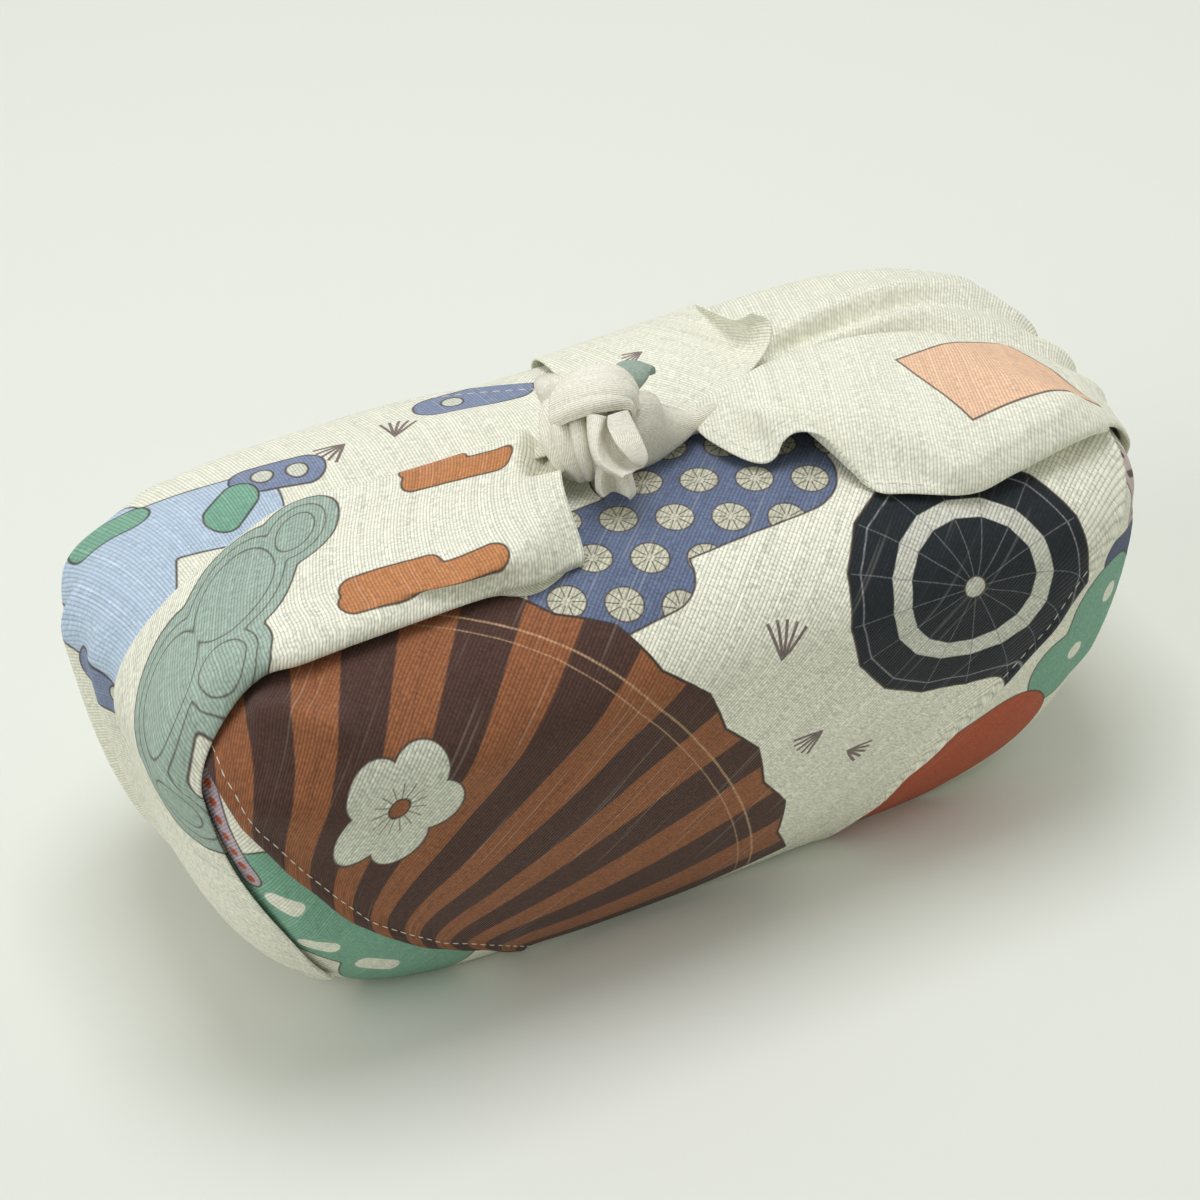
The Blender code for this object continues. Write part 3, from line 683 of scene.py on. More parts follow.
row_numbers = np.arange(len(wide))
wide = wide + (skin[row_numbers, middle, 0] - wide[row_numbers, middle])[:, None]
front = int(np.abs(turns - np.pi / 2).argmin())
down = down - down[front, middle[front]]
from_hem = np.minimum(wide - wide[:, :1], wide[:, -1:] - wide)
hem_lift = HEM_STEP * np.clip((HEM - from_hem) / (0.8 * MM), 0, 1)
hem_lift -= STITCH_DENT * np.exp(-((from_hem - 0.75 * HEM) / (0.6 * MM)) ** 2)
pucker = np.sin(down / (3.1 * MM)) * np.sin(down / (1.9 * CM)) * PUCKER
hem_lift += pucker * np.exp(-(from_hem / (7 * MM)) ** 2)
sway = SWAY * np.sin(wide / (2.3 * CM) + down / (3.1 * CM)) * np.sin(down / (4.2 * CM) + 1.0)
lift = FLAP_LIFT + hem_lift + sway + crease_lift(skin, FLAP_CREASES)
flap_points = raised(skin, np.maximum(lift, LEAST_HEIGHT))

dye = Dye("printed cotton, front flap")
BROWN = tint("#965F3D")
DARK_BROWN = tint("#50372F")
CHARCOAL = tint("#20272C")
GREY_GREEN = tint("#A3B7AA")
PLUM = tint("#5E4447")
colour = CREAM
# a bank of slate-blue mist with round flowers
mist = dye.union(dye.bar(-0.5, 3.2, 5.4, 1.5, -4), dye.bar(2.6, 1.4, 3.8, 1.2, 2),
                 dye.bar(-4.2, 5.2, 4.0, 1.1, -8))
colour = dye.patch(colour, mist, tint("#66738F"), LINE)
cell = 1.45 * CM
px, py = dye.spot(0, 0, 24)
row = dye.calc("FLOOR", dye.calc("MULTIPLY_ADD", py, 1 / cell, 0.5))
fx = dye.calc("WRAP", dye.calc("MULTIPLY_ADD", row, 0.5 * cell, px), cell / 2, -cell / 2)
fy = dye.calc("WRAP", py, cell / 2, -cell / 2)
ring = dye.length((fx, fy))
inner = dye.common(dye.minus(ring, 0.5 * CM), mist)
petal = dye.calc("PINGPONG", dye.calc("ARCTAN2", fy, fx), math.pi / 10)
colour = dye.patch(colour, inner, tint("#C9C8B4"), LINE, 0.22 * MM)
lines = dye.minus(dye.times(ring, dye.calc("SINE", petal)), 0.17 * MM)
lines = dye.common(lines, dye.common(inner, dye.minus(0.13 * CM, ring)))
colour = dye.blend(dye.times(dye.inside(lines, 0.15 * MM), 0.8), colour, LINE)
# an open folding fan in brown stripes
FAN = (-17.0, 19.0)
FAN_RADIUS = 19.4
FAN_OPENING = math.radians(37.0)
FAN_BLADE = math.radians(4.6)
far, angle = dye.polar(*FAN, -43)
blade = dye.calc("PINGPONG", angle, FAN_BLADE)
toothed = dye.calc("MULTIPLY_ADD", blade, 0.35 * CM / FAN_BLADE, far)
opened = dye.minus(dye.calc("ABSOLUTE", angle), FAN_OPENING)
leaf = dye.common(dye.minus(toothed, FAN_RADIUS * CM), dye.times(opened, far))
fold = dye.times(dye.minus(blade, 0.5 * FAN_BLADE), far)
sticks = dye.blend(dye.inside(fold), BROWN, DARK_BROWN)
sticks = dye.blend(dye.times(dye.stroke(fold, 0.2 * MM), 0.7), sticks, LINE)
crease = dye.times(dye.minus(FAN_BLADE, blade), far)
sticks = dye.blend(dye.times(dye.stroke(crease, 0.15 * MM), 0.35), sticks, LINE)
for radius, width in ((18.3, 0.3), (17.9, 0.16), (8.6, 0.3)):
    hoop = dye.minus(far, radius * CM)
    sticks = dye.blend(dye.times(dye.stroke(hoop, width * MM), 0.55), sticks, tint("#D9B48A"))
colour = dye.blend(dye.inside(leaf), colour, sticks)
colour = dye.blend(dye.stroke(leaf, 0.4 * MM), colour, LINE)
colour = dye.blossom(colour, -9.4, 8.2, 1.75, tint("#D5D8C8"), BROWN, LINE, 20)
# a paper umbrella seen from above
UMBRELLA = (7.0, 7.8)
far, angle = dye.polar(*UMBRELLA)
rib = dye.calc("PINGPONG", angle, math.pi / 16)
panel = dye.calc("COSINE", dye.minus(math.pi / 16, rib))
rim = dye.minus(dye.times(far, panel), 3.65 * CM)
colour = dye.patch(colour, rim, CHARCOAL, LINE)
ring = dye.calc("ABSOLUTE", dye.minus(dye.times(far, panel), 2.15 * CM))
colour = dye.patch(colour, dye.minus(ring, 0.27 * CM), tint("#D2D3C6"))
ray = dye.minus(dye.times(far, dye.calc("SINE", rib)), 0.16 * MM)
ray = dye.common(ray, dye.add(rim, 0.1 * CM))
colour = dye.blend(dye.times(dye.inside(ray, 0.12 * MM), 0.6), colour, tint("#7F8086"))
hoop = dye.minus(dye.times(far, panel), 3.3 * CM)
colour = dye.blend(dye.times(dye.stroke(hoop, 0.2 * MM), 0.6), colour, tint("#A9A9AE"))
colour = dye.patch(colour, dye.disc(*UMBRELLA, 0.32), tint("#D2D3C6"), LINE)
# sprigs on the plain cream
for x, y, turn, size in ((1.2, 8.0, -70, 1.1), (2.6, 11.2, 150, 0.9), (3.4, 12.6, 35, 0.8)):
    colour = dye.needles(colour, x, y, size, turn, 38, PLUM, 5, 0.45 * MM)
flap = sheet_mesh("front_flap", flap_points, np.stack([wide, down], axis=-1))
flap.data.materials.append(dye.woven(colour, 45, rib=1.0 * MM, depth=1.5))
thread_dye = Dye("pale sewing thread")
pale_thread = thread_dye.woven(tint("#F2EFDF"), 0, rib=0.3 * MM, depth=0.3, slubs=0.0)
flap_seams = sew("flap_seams", [seam_line(flap_points, HEM), seam_line(flap_points[:, ::-1], HEM)],
                 pale_thread)

# ---------------------------------------------------------------------------------------------
# The left tie: the left corner of the square, gathered and led along the top to the knot. Its
# front layer is a wide band whose edges roll under; it runs down the left end of the bundle.
# ---------------------------------------------------------------------------------------------
LEFT_TIE = (
    (   # front edge: x, y, z, lift
        (-2.8, -4.3, 11.6, 2.6), (-4.2, -4.4, 11.6, 2.8), (-5.9, -4.35, 11.5, 4.0),
        (-7.7, -4.5, 11.5, 4.5), (-9.5, -4.5, 11.4, 5.0), (-10.9, -4.4, 11.2, 5.5),
        (-11.9, -4.1, 11.0, 5.0), (-12.8, -4.3, 10.5, 4.5), (-13.6, -4.6, 9.6, 3.0),
        (-13.7, -4.75, 8.4, 2.2), (-13.4, -5.0, 6.6, 2.0), (-12.2, -5.3, 3.6, 1.8),
        (-11.0, -4.9, 0.8, 1.4),
    ),
    (   # front roll
        (-2.7, -3.5, 11.3, 6.0), (-4.3, -3.95, 11.2, 6.0), (-6.4, -3.9, 11.5, 8.0),
        (-8.6, -3.9, 11.4, 9.0), (-10.8, -3.7, 11.2, 9.5), (-12.6, -3.6, 10.7, 9.0),
        (-13.9, -4.0, 9.2, 5.6), (-14.0, -4.2, 7.2, 3.8), (-13.4, -4.5, 5.0, 3.5),
        (-12.2, -4.6, 2.6, 2.5), (-11.2, -4.2, 0.8, 1.5),
    ),
    (   # wing
        (-2.5, -2.2, 11.4, 12.0), (-4.1, -3.1, 11.3, 14.0), (-6.2, -3.4, 11.2, 11.0),
        (-9.2, -2.6, 11.5, 9.0), (-11.6, -2.3, 11.2, 9.0), (-13.6, -2.6, 10.2, 7.5),
        (-14.3, -2.9, 8.2, 5.5), (-13.9, -3.2, 5.6, 4.0), (-13.0, -3.3, 3.2, 3.0),
        (-11.8, -3.2, 0.8, 1.5),
    ),
    (   # middle
        (-1.7, -0.4, 11.9, 9.0), (-3.6, -0.6, 11.9, 8.5), (-6.2, -0.9, 11.8, 8.5),
        (-9.2, -0.7, 11.6, 9.0), (-11.7, -0.8, 11.2, 8.5), (-13.7, -1.4, 10.0, 6.5),
        (-14.2, -1.8, 7.6, 5.0), (-13.6, -2.0, 4.6, 3.5), (-12.0, -2.0, 0.8, 1.5),
    ),
    (   # far ridge
        (-1.1, 0.7, 12.0, 11.0), (-3.0, 0.9, 11.9, 9.0), (-5.8, 0.8, 11.8, 9.0), (-8.8, 0.9, 11.6, 9.5),
        (-11.2, 0.3, 11.3, 9.0), (-13.2, -0.5, 10.4, 7.5), (-14.2, -1.1, 8.4, 5.5),
        (-13.9, -1.3, 5.6, 4.0), (-12.1, -1.3, 0.8, 1.5),
    ),
    (   # far edge
        (-0.8, 1.5, 11.9, 8.0), (-2.7, 1.6, 11.8, 6.0), (-5.6, 1.5, 11.8, 6.5), (-8.7, 1.6, 11.6, 7.0),
        (-11.1, 0.8, 11.3, 6.5), (-13.2, 0.0, 10.4, 5.5), (-14.3, -0.6, 8.4, 4.0),
        (-14.0, -0.8, 5.6, 3.0), (-12.2, -0.8, 0.8, 1.3),
    ),
)
LEFT_CELLS = (240, 120)
LEFT_CREASES = (
    (((-0.8, 1.5, 11.4), (-1.6, 0.8, 11.4), (-2.1, 0.0, 11.4), (-2.3, -1.0, 11.4)), -9.0, 4.5),
    (((-1.7, 1.6, 11.4), (-2.4, 0.8, 11.4), (-2.8, -0.2, 11.4)), 2.0, 3.0),
    (((-8.0, -3.6, 11.6), (-10.4, -2.6, 11.5), (-12.6, -2.4, 10.8)), -0.8, 7.0),
    (((-12.0, -3.6, 11.0), (-13.4, -3.6, 10.0), (-14.2, -3.6, 8.0)), 1.0, 5.0),
    (((-6.0, 0.0, 11.8), (-9.0, -0.4, 11.6), (-11.8, -0.4, 11.2)), -0.9, 6.0),
)


def beside(line, other, step, rise, lowest=1.2):
    """A line `step` cm from another, towards a third, and `rise` mm higher, for a rolled edge."""
    way = other[:, :3] - line[:, :3]
    way /= np.linalg.norm(way, axis=1, keepdims=True)
    moved = line.copy()
    moved[:, :3] += way * np.reshape(step, (-1, 1))
    moved[:, 3] = np.maximum(moved[:, 3] + rise, lowest)
    return moved


def fold_grid(lines, cells):
    """Points on the bundle's skin, and lifts, of a cloth that is laid over its fold lines."""
    along = np.array([rows if len(rows) == cells[0] + 1 else smooth_line(rows, cells[0] + 1)
                      for rows in lines])
    grid = np.array([smooth_line(along[:, i], cells[1] + 1) for i in range(cells[0] + 1)])
    return press(grid[..., :3] * CM), grid[..., 3] * MM


def laid(lines, cells, creases=()):
    """The skin under a cloth that is laid over its fold lines, and the cloth's own points."""
    skin, lift = fold_grid(lines, cells)
    return skin, raised(skin, lift + crease_lift(skin, creases))


lines = [smooth_line(rows, LEFT_CELLS[0] + 1) for rows in LEFT_TIE]
lines = [beside(lines[0], lines[1], 0.8, -6.0, 1.6)] + lines
lines = lines + [beside(lines[-1], lines[-2], 0.7, -6.0, 2.2)]
skin, left_points = laid(lines, LEFT_CELLS, LEFT_CREASES)
along = run_lengths(skin, 0)
across = run_lengths(skin, 1)
centre = LEFT_CELLS[1] // 2
across = across - across[:, centre:centre + 1]
dye = Dye("printed cotton, left tie")
colour = CREAM
cloud = dye.union(dye.disc(7.6, 1.5, 1.2), dye.disc(9.2, 0.5, 1.8), dye.disc(11.2, -0.4, 1.7),
                  dye.disc(12.8, -1.4, 1.2), dye.disc(9.6, -1.5, 1.3))
colour = dye.patch(colour, cloud, GREY_GREEN, LINE)
for inward in (0.35, 0.65):
    contour = dye.stroke(dye.add(cloud, inward * CM), 0.2 * MM)
    colour = dye.blend(dye.times(contour, 0.8), colour, LINE)
for x, y, size in ((3.2, 2.0, 1.6), (4.4, -1.9, 2.2)):
    band = dye.union(dye.bar(x, y, size, 0.42, 4), dye.bar(x + 0.7, y + 0.55, size * 0.6, 0.34, 4))
    colour = dye.patch(colour, band, tint("#C38557"), LINE)
left_tie = sheet_mesh("left_tie", left_points, np.stack([along, across], axis=-1))
left_tie.data.materials.append(dye.woven(colour, 0, depth=1.3))

# ---------------------------------------------------------------------------------------------
# The left tie's back layer: the rest of that corner, which comes out from under the front layer,
# covers the left end and ends in a sewn hem that slants down the back.
# ---------------------------------------------------------------------------------------------
LEFT_BACK = (
    (   # under the front layer: x, y, z, lift
        (-0.9, 0.6, 12.0, 4.0), (-3.0, 0.7, 11.8, 3.6), (-6.0, 0.6, 11.8, 3.2), (-9.0, 0.4, 11.6, 3.0),
        (-11.6, -0.4, 11.2, 2.6), (-13.6, -1.6, 9.6, 2.2), (-14.0, -2.2, 7.0, 1.8),
        (-13.2, -2.4, 3.6, 1.6), (-12.0, -2.4, 0.6, 1.2),
    ),
    (   # shadow groove beside the front layer
        (-0.7, 1.6, 12.0, 4.6), (-2.7, 1.9, 11.8, 3.2), (-5.6, 1.9, 11.8, 2.6), (-8.7, 2.0, 11.6, 2.4),
        (-11.3, 1.2, 11.3, 2.4), (-13.4, 0.4, 10.0, 2.4), (-14.2, -0.2, 7.6, 2.0),
        (-13.4, -0.4, 4.0, 1.6), (-12.1, -0.6, 0.6, 1.2),
    ),
    (   # soft rise
        (-0.5, 2.6, 11.9, 4.0), (-2.7, 3.2, 11.7, 6.0), (-5.6, 3.4, 11.6, 5.0), (-8.7, 3.3, 11.5, 5.0),
        (-11.2, 2.9, 11.2, 5.0), (-13.2, 2.4, 10.2, 5.0), (-14.2, 1.6, 8.0, 4.0),
        (-13.6, 1.2, 4.6, 3.0), (-12.2, 1.0, 0.6, 1.4),
    ),
    (   # second groove
        (-0.3, 3.3, 11.8, 4.0), (-2.9, 4.2, 11.5, 3.4), (-6.0, 4.7, 11.1, 3.0), (-8.9, 4.7, 11.0, 3.0),
        (-11.2, 4.5, 10.6, 3.0), (-13.0, 4.0, 9.6, 3.0), (-13.9, 3.0, 7.4, 2.4), (-13.2, 2.6, 4.0, 2.0),
        (-12.1, 2.4, 0.6, 1.3),
    ),
    (   # hem, slanting down the back
        (0.2, 4.0, 11.6, 3.0), (-2.8, 5.4, 11.0, 2.4), (-5.8, 6.2, 10.0, 2.2), (-8.6, 6.6, 8.8, 2.2),
        (-10.8, 6.5, 7.0, 2.2), (-12.0, 6.0, 5.0, 2.0), (-12.2, 5.2, 3.0, 1.8), (-11.6, 4.6, 0.6, 1.3),
    ),
)
BACK_CELLS = (200, 100)
BACK_CREASES = (
    (((-12.6, 1.4, 10.8), (-14.1, 0.9, 8.4), (-13.9, 0.6, 5.2), (-12.5, 0.4, 1.6)), 2.4, 4.2),
    (((-12.4, 2.9, 10.4), (-13.7, 2.4, 8.0), (-13.5, 2.0, 5.0), (-12.4, 1.6, 1.6)), 4.4, 4.2),
    (((-11.6, 4.4, 10.2), (-13.0, 4.0, 8.0), (-12.9, 3.4, 5.0), (-12.2, 2.8, 1.6)), 4.4, 4.2),
    (((-9.6, 5.6, 10.0), (-11.6, 5.4, 8.0), (-12.3, 4.6, 5.0)), 3.4, 4.2),
)

skin, back_points = laid(LEFT_BACK, BACK_CELLS, BACK_CREASES)
dye = Dye("printed cotton, left end")
colour = CREAM
blue = dye.union(dye.bar(-11.2, 2.9, 2.7, 1.3, -15), dye.bar(-13.7, 1.6, 2.6, 1.5, 62),
                 dye.disc(-12.8, 4.4, 1.3))
colour = dye.patch(colour, blue, LIGHT_BLUE, LINE)
slate = dye.union(dye.bar(-2.2, 4.1, 1.7, 0.7, -5), dye.bar(-8.3, 3.2, 1.3, 0.6, -12))
colour = dye.patch(colour, slate, SLATE, LINE)
strip = dye.bar(-15.4, 0.9, 1.7, 0.5, 80)
colour = dye.patch(colour, strip, SLATE, LINE)
for x, y in ((-15.5, 1.7), (-15.35, 0.2), (-8.7, 3.3), (-7.8, 3.05), (-2.8, 4.2)):
    colour = dye.patch(colour, dye.disc(x, y, 0.3), tint("#D5D8C8"), LINE)
for x, y, turn in ((-9.9, 2.6, 35), (-12.3, 4.3, -25)):
    colour = dye.patch(colour, dye.bar(x, y, 0.95, 0.5, turn), GREEN, LINE)
for x, y, turn, size in ((-5.0, 3.0, 60, 1.0), (-6.2, 3.5, 200, 0.9)):
    colour = dye.needles(colour, x, y, size, turn, 38, PLUM, 5, 0.45 * MM)
left_back = sheet_mesh("left_back", back_points, unrolled(skin))
left_back.data.materials.append(dye.woven(colour, 0))
back_seam = sew("back_seam", [seam_line(back_points[:, ::-1], HEM)], pale_thread)

# ---------------------------------------------------------------------------------------------
# The right tie: the right corner of the square. Its sewn hem runs from the knot in waves to a
# corner, from there the front edge rolls under, and behind it the cloth lies in fanned pleats.
# ---------------------------------------------------------------------------------------------
RIGHT_HEM = (
    # x, y, z, lift of the waved hem, then of the rolled edge
    (2.1, -0.1, 11.4, 6.0), (2.15, -1.0, 11.4, 6.0), (2.35, -1.7, 11.4, 6.0), (2.7, -2.25, 11.4, 5.0),
    (3.1, -2.55, 11.4, 4.5), (3.4, -2.65, 11.4, 6.5), (3.65, -2.55, 11.4, 10.0),
    (4.05, -2.6, 11.4, 12.0), (4.55, -2.85, 11.3, 11.5), (4.85, -3.35, 11.3, 8.5),
    (5.2, -4.2, 11.2, 3.6), (5.45, -4.55, 11.1, 3.2), (6.1, -4.75, 11.0, 3.4), (7.7, -5.3, 10.8, 4.0),
    (9.0, -5.2, 10.8, 5.2), (10.5, -4.85, 10.7, 7.0), (11.5, -4.45, 10.5, 7.2), (12.0, -4.1, 10.3, 5.8),
    (12.5, -3.8, 10.2, 4.2), (13.2, -3.4, 9.6, 2.6), (13.8, -3.1, 8.0, 2.0), (13.6, -2.9, 5.0, 1.8),
    (12.2, -2.6, 0.8, 1.3),
)
# Shares of the way along: of the whole cloth, of its inner fold lines and of its hem.
RIGHT_PACE = (
    (0.0, 0.28, 0.60, 1.0), (0.0, 0.13, 0.48, 1.0), (0.0, 0.34, 0.66, 1.0),
)
HEM_SHARE = 0.345            # of the front edge is the sewn hem; the rest is rolled under
ROLL_FADE = 0.03             # of the edge, over which the roll begins
FULL_END = 0.66              # of the edge, where the roll is no longer full
FULL_FADE = 0.10
RIGHT_TIE = (
    (   # lobe
        (2.4, 0.0, 11.4, 7.0), (3.6, -0.7, 11.4, 10.0), (5.0, -1.4, 11.4, 12.5),
        (6.8, -1.9, 11.4, 12.0), (8.9, -2.2, 11.3, 11.0), (10.8, -2.0, 12.0, 11.0),
        (12.6, -1.9, 11.0, 6.4), (14.0, -1.9, 9.6, 2.8), (14.1, -1.8, 6.6, 2.4), (12.2, -1.6, 0.8, 1.5),
    ),
    (   # upper edge of the front panel
        (2.4, 0.4, 12.0, 7.0), (3.5, 0.6, 12.0, 8.5), (5.0, 1.1, 12.1, 9.0), (6.5, 1.2, 12.0, 9.0),
        (8.2, 0.9, 11.9, 9.5), (10.0, 0.4, 11.8, 9.0), (11.8, -0.3, 11.2, 5.6), (13.6, -0.8, 10.0, 2.8),
        (14.1, -0.9, 6.8, 2.2), (12.2, -0.8, 0.8, 1.5),
    ),
    (   # groove tucked under it
        (2.4, 0.5, 12.0, 3.0), (3.6, 0.7, 12.0, 2.6), (5.1, 1.15, 12.0, 2.4), (6.6, 1.2, 11.9, 2.4),
        (8.3, 0.95, 11.8, 2.4), (10.1, 0.6, 11.6, 2.6), (11.9, 0.0, 11.2, 3.0), (13.7, -0.5, 9.8, 1.8),
        (14.1, -0.6, 6.8, 1.6), (12.2, -0.5, 0.8, 1.3),
    ),
    (   # first ridge
        (2.5, 0.9, 12.0, 3.4), (3.8, 1.2, 12.0, 3.4), (5.4, 1.6, 12.0, 4.4), (7.0, 1.75, 12.0, 7.0),
        (8.8, 1.6, 11.9, 9.0), (10.6, 1.6, 11.6, 9.5), (12.2, 1.0, 11.1, 6.0), (13.8, 0.6, 9.6, 3.2),
        (14.1, 0.3, 6.6, 2.6), (12.2, 0.3, 0.8, 1.4),
    ),
    (   # second groove
        (2.6, 1.3, 11.9, 3.6), (4.1, 1.7, 11.8, 3.2), (5.8, 2.1, 11.8, 3.0), (7.6, 2.3, 11.7, 3.0),
        (9.2, 2.3, 11.6, 3.6), (11.0, 2.4, 11.3, 4.0), (12.6, 2.0, 10.6, 3.0), (13.9, 1.6, 9.0, 1.8),
        (13.9, 1.2, 6.0, 1.6), (12.2, 1.0, 0.8, 1.3),
    ),
    (   # second ridge
        (2.6, 1.8, 12.0, 3.4), (4.3, 2.4, 12.0, 3.8), (6.4, 2.9, 12.0, 8.0), (8.2, 3.1, 11.8, 9.5),
        (10.4, 3.2, 11.5, 9.5), (12.4, 3.0, 10.6, 6.4), (13.7, 2.6, 8.8, 4.0), (13.6, 2.2, 5.6, 3.0),
        (12.1, 2.0, 0.8, 1.4),
    ),
    (   # far slope
        (2.3, 2.6, 11.9, 4.0), (4.3, 3.5, 11.8, 4.6), (6.5, 4.1, 11.6, 5.0), (8.8, 4.4, 11.4, 5.0),
        (11.0, 4.4, 10.9, 4.6), (12.8, 4.0, 9.6, 4.0), (13.4, 3.4, 7.4, 3.4), (13.0, 2.9, 4.4, 2.8),
        (12.0, 2.7, 0.8, 1.3),
    ),
    (   # back hem
        (1.4, 3.8, 11.6, 2.2), (4.0, 5.2, 11.1, 2.4), (6.8, 6.0, 10.2, 2.4), (9.4, 6.2, 9.0, 2.4),
        (11.4, 5.9, 7.6, 2.2), (12.4, 5.2, 5.8, 2.0), (12.6, 4.6, 3.6, 1.8), (11.8, 4.2, 0.6, 1.3),
    ),
)
RIGHT_CELLS = (260, 170)
RIGHT_CREASES = (
    (((12.9, -1.4, 10.7), (14.1, -1.4, 8.4), (13.9, -1.5, 5.4), (12.6, -1.7, 2.0)), 3.6, 4.2),
    (((12.8, 0.4, 10.6), (14.1, 0.2, 8.2), (13.9, 0.0, 5.0), (12.6, -0.2, 1.6)), 4.6, 4.2),
    (((12.6, 2.2, 10.4), (13.9, 1.9, 8.0), (13.7, 1.5, 5.0), (12.5, 1.1, 1.6)), 4.6, 4.2),
    (((11.8, 3.8, 10.4), (13.2, 3.6, 8.0), (13.1, 3.0, 5.0), (12.2, 2.4, 1.6)), 4.4, 4.2),
    (((10.0, 5.4, 10.0), (11.8, 5.2, 8.0), (12.3, 4.4, 5.0)), 3.6, 4.2),
)

shares = np.linspace(0.0, 1.0, RIGHT_CELLS[0] + 1)
inner_spread = np.interp(shares, RIGHT_PACE[0], RIGHT_PACE[1])
hem_spread = np.interp(shares, RIGHT_PACE[0], RIGHT_PACE[2])
lines = [smooth_line(rows, RIGHT_CELLS[0] + 1, inner_spread) for rows in RIGHT_TIE]
hem = smooth_line(RIGHT_HEM, RIGHT_CELLS[0] + 1, hem_spread)
rolled = np.clip((hem_spread - HEM_SHARE) / ROLL_FADE, 0, 1)
full = rolled * np.clip((FULL_END - hem_spread) / FULL_FADE, 0, 1)
under = beside(hem, lines[0], 0.25 + 0.5 * rolled, -0.8 - 5.0 * rolled)
roll = beside(hem, lines[0], 0.45 + 0.15 * rolled, 1.0 - 0.6 * rolled + 3.8 * full)
crest = beside(hem, lines[0], 0.95 + 0.25 * rolled, 1.6 - 0.8 * rolled + 5.0 * full)
skin, right_points = laid([under, hem, roll, crest] + lines, RIGHT_CELLS, RIGHT_CREASES)
dye = Dye("printed cotton, right tie")
colour = CREAM
px, py = dye.spot(10.3, -2.1, 8)
peach = dye.common(dye.minus(dye.calc("ABSOLUTE", px), 2.1 * CM),
                   dye.minus(dye.calc("ABSOLUTE", py), 1.55 * CM))
colour = dye.patch(colour, peach, tint("#F0C7A6"), LINE)
right_tie = sheet_mesh("right_tie", right_points, unrolled(skin))
right_tie.data.materials.append(dye.woven(colour, -20))
sewn = roll[hem_spread < HEM_SHARE]
seam = raised(press(sewn[:, :3] * CM), sewn[:, 3] * MM)
tie_seam = sew("tie_seam", [seam], pale_thread)

# ---------------------------------------------------------------------------------------------
# The back corner: the square's last corner, brought up from behind and tucked in beside the knot.
# Its sewn hem lies along the right tie's groove, and its very corner stands up and curls over.
# ---------------------------------------------------------------------------------------------
BACK_CORNER = (
    (   # hem: x, y, z, lift
        (1.2, -0.4, 11.4, 4.0), (2.0, -0.1, 11.4, 7.0), (3.0, 0.25, 11.4, 7.5), (4.0, 0.65, 11.4, 8.0),
        (4.8, 1.0, 11.4, 9.0), (5.4, 1.4, 11.4, 12.0), (5.55, 1.75, 11.4, 15.5), (5.2, 2.1, 11.4, 17.0),
    ),
    (   # hollow behind the hem
        (1.0, 0.4, 11.4, 3.4), (1.9, 0.6, 11.4, 6.6), (3.0, 1.0, 11.4, 7.5), (4.0, 1.4, 11.4, 6.8),
        (4.7, 1.7, 11.4, 6.5), (5.05, 1.95, 11.4, 7.5), (5.15, 2.15, 11.4, 10.0),
        (4.9, 2.4, 11.4, 14.0),
    ),
    (   # rise
        (0.6, 1.5, 11.4, 3.2), (1.6, 1.7, 11.4, 5.6), (2.9, 2.1, 11.3, 7.4), (4.0, 2.4, 11.3, 7.0),
        (4.6, 2.6, 11.3, 6.5), (4.9, 2.8, 11.3, 7.0), (5.0, 2.9, 11.3, 9.0), (4.8, 3.1, 11.3, 11.5),
    ),
    (   # far slope
        (0.3, 2.8, 11.3, 3.2), (1.4, 3.0, 11.3, 4.4), (2.7, 3.4, 11.2, 5.5), (3.9, 3.7, 11.1, 5.5),
        (4.6, 3.9, 11.0, 5.2), (5.0, 4.0, 11.0, 5.6), (5.1, 4.1, 11.0, 6.4), (5.0, 4.2, 11.0, 7.0),
    ),
    (   # down the back
        (0.3, 4.4, 10.9, 2.8), (1.2, 4.6, 10.9, 3.2), (2.6, 4.9, 10.7, 3.6), (4.0, 5.1, 10.5, 3.8),
        (4.9, 5.2, 10.4, 4.0), (5.3, 5.3, 10.3, 4.2),
    ),
    (   # end, drawn under the back hems
        (1.0, 6.1, 8.8, 2.0), (2.2, 6.2, 8.6, 2.2), (3.4, 6.3, 8.4, 2.4), (4.4, 6.3, 8.4, 2.6),
    ),
)
CORNER_CELLS = (120, 110)

corner_points = laid(BACK_CORNER, CORNER_CELLS)[1]
along = run_lengths(corner_points, 0)
across = run_lengths(corner_points, 1)
dye = Dye("printed cotton, back corner")
colour = CREAM
for x, y, turn in ((1.0, 2.6, 30), (2.4, 3.2, 170)):
    colour = dye.needles(colour, x, y, 0.7, turn, 38, PLUM, 5, 0.35 * MM)
back_corner = sheet_mesh("back_corner", corner_points, np.stack([along, across], axis=-1))
back_corner.data.materials.append(dye.woven(colour, 10))
corner_seam = sew("corner_seam", [seam_line(corner_points, HEM)], pale_thread)

# ---------------------------------------------------------------------------------------------
# The knot: the two ties' bunched ends, crossed once and pulled tight. One strand goes over the
# top and turns down in a pleated lobe; short rolled tips stick out below and behind.
# ---------------------------------------------------------------------------------------------
KNOT_MIDDLE = np.array((-0.88, -0.83, 13.24)) * CM
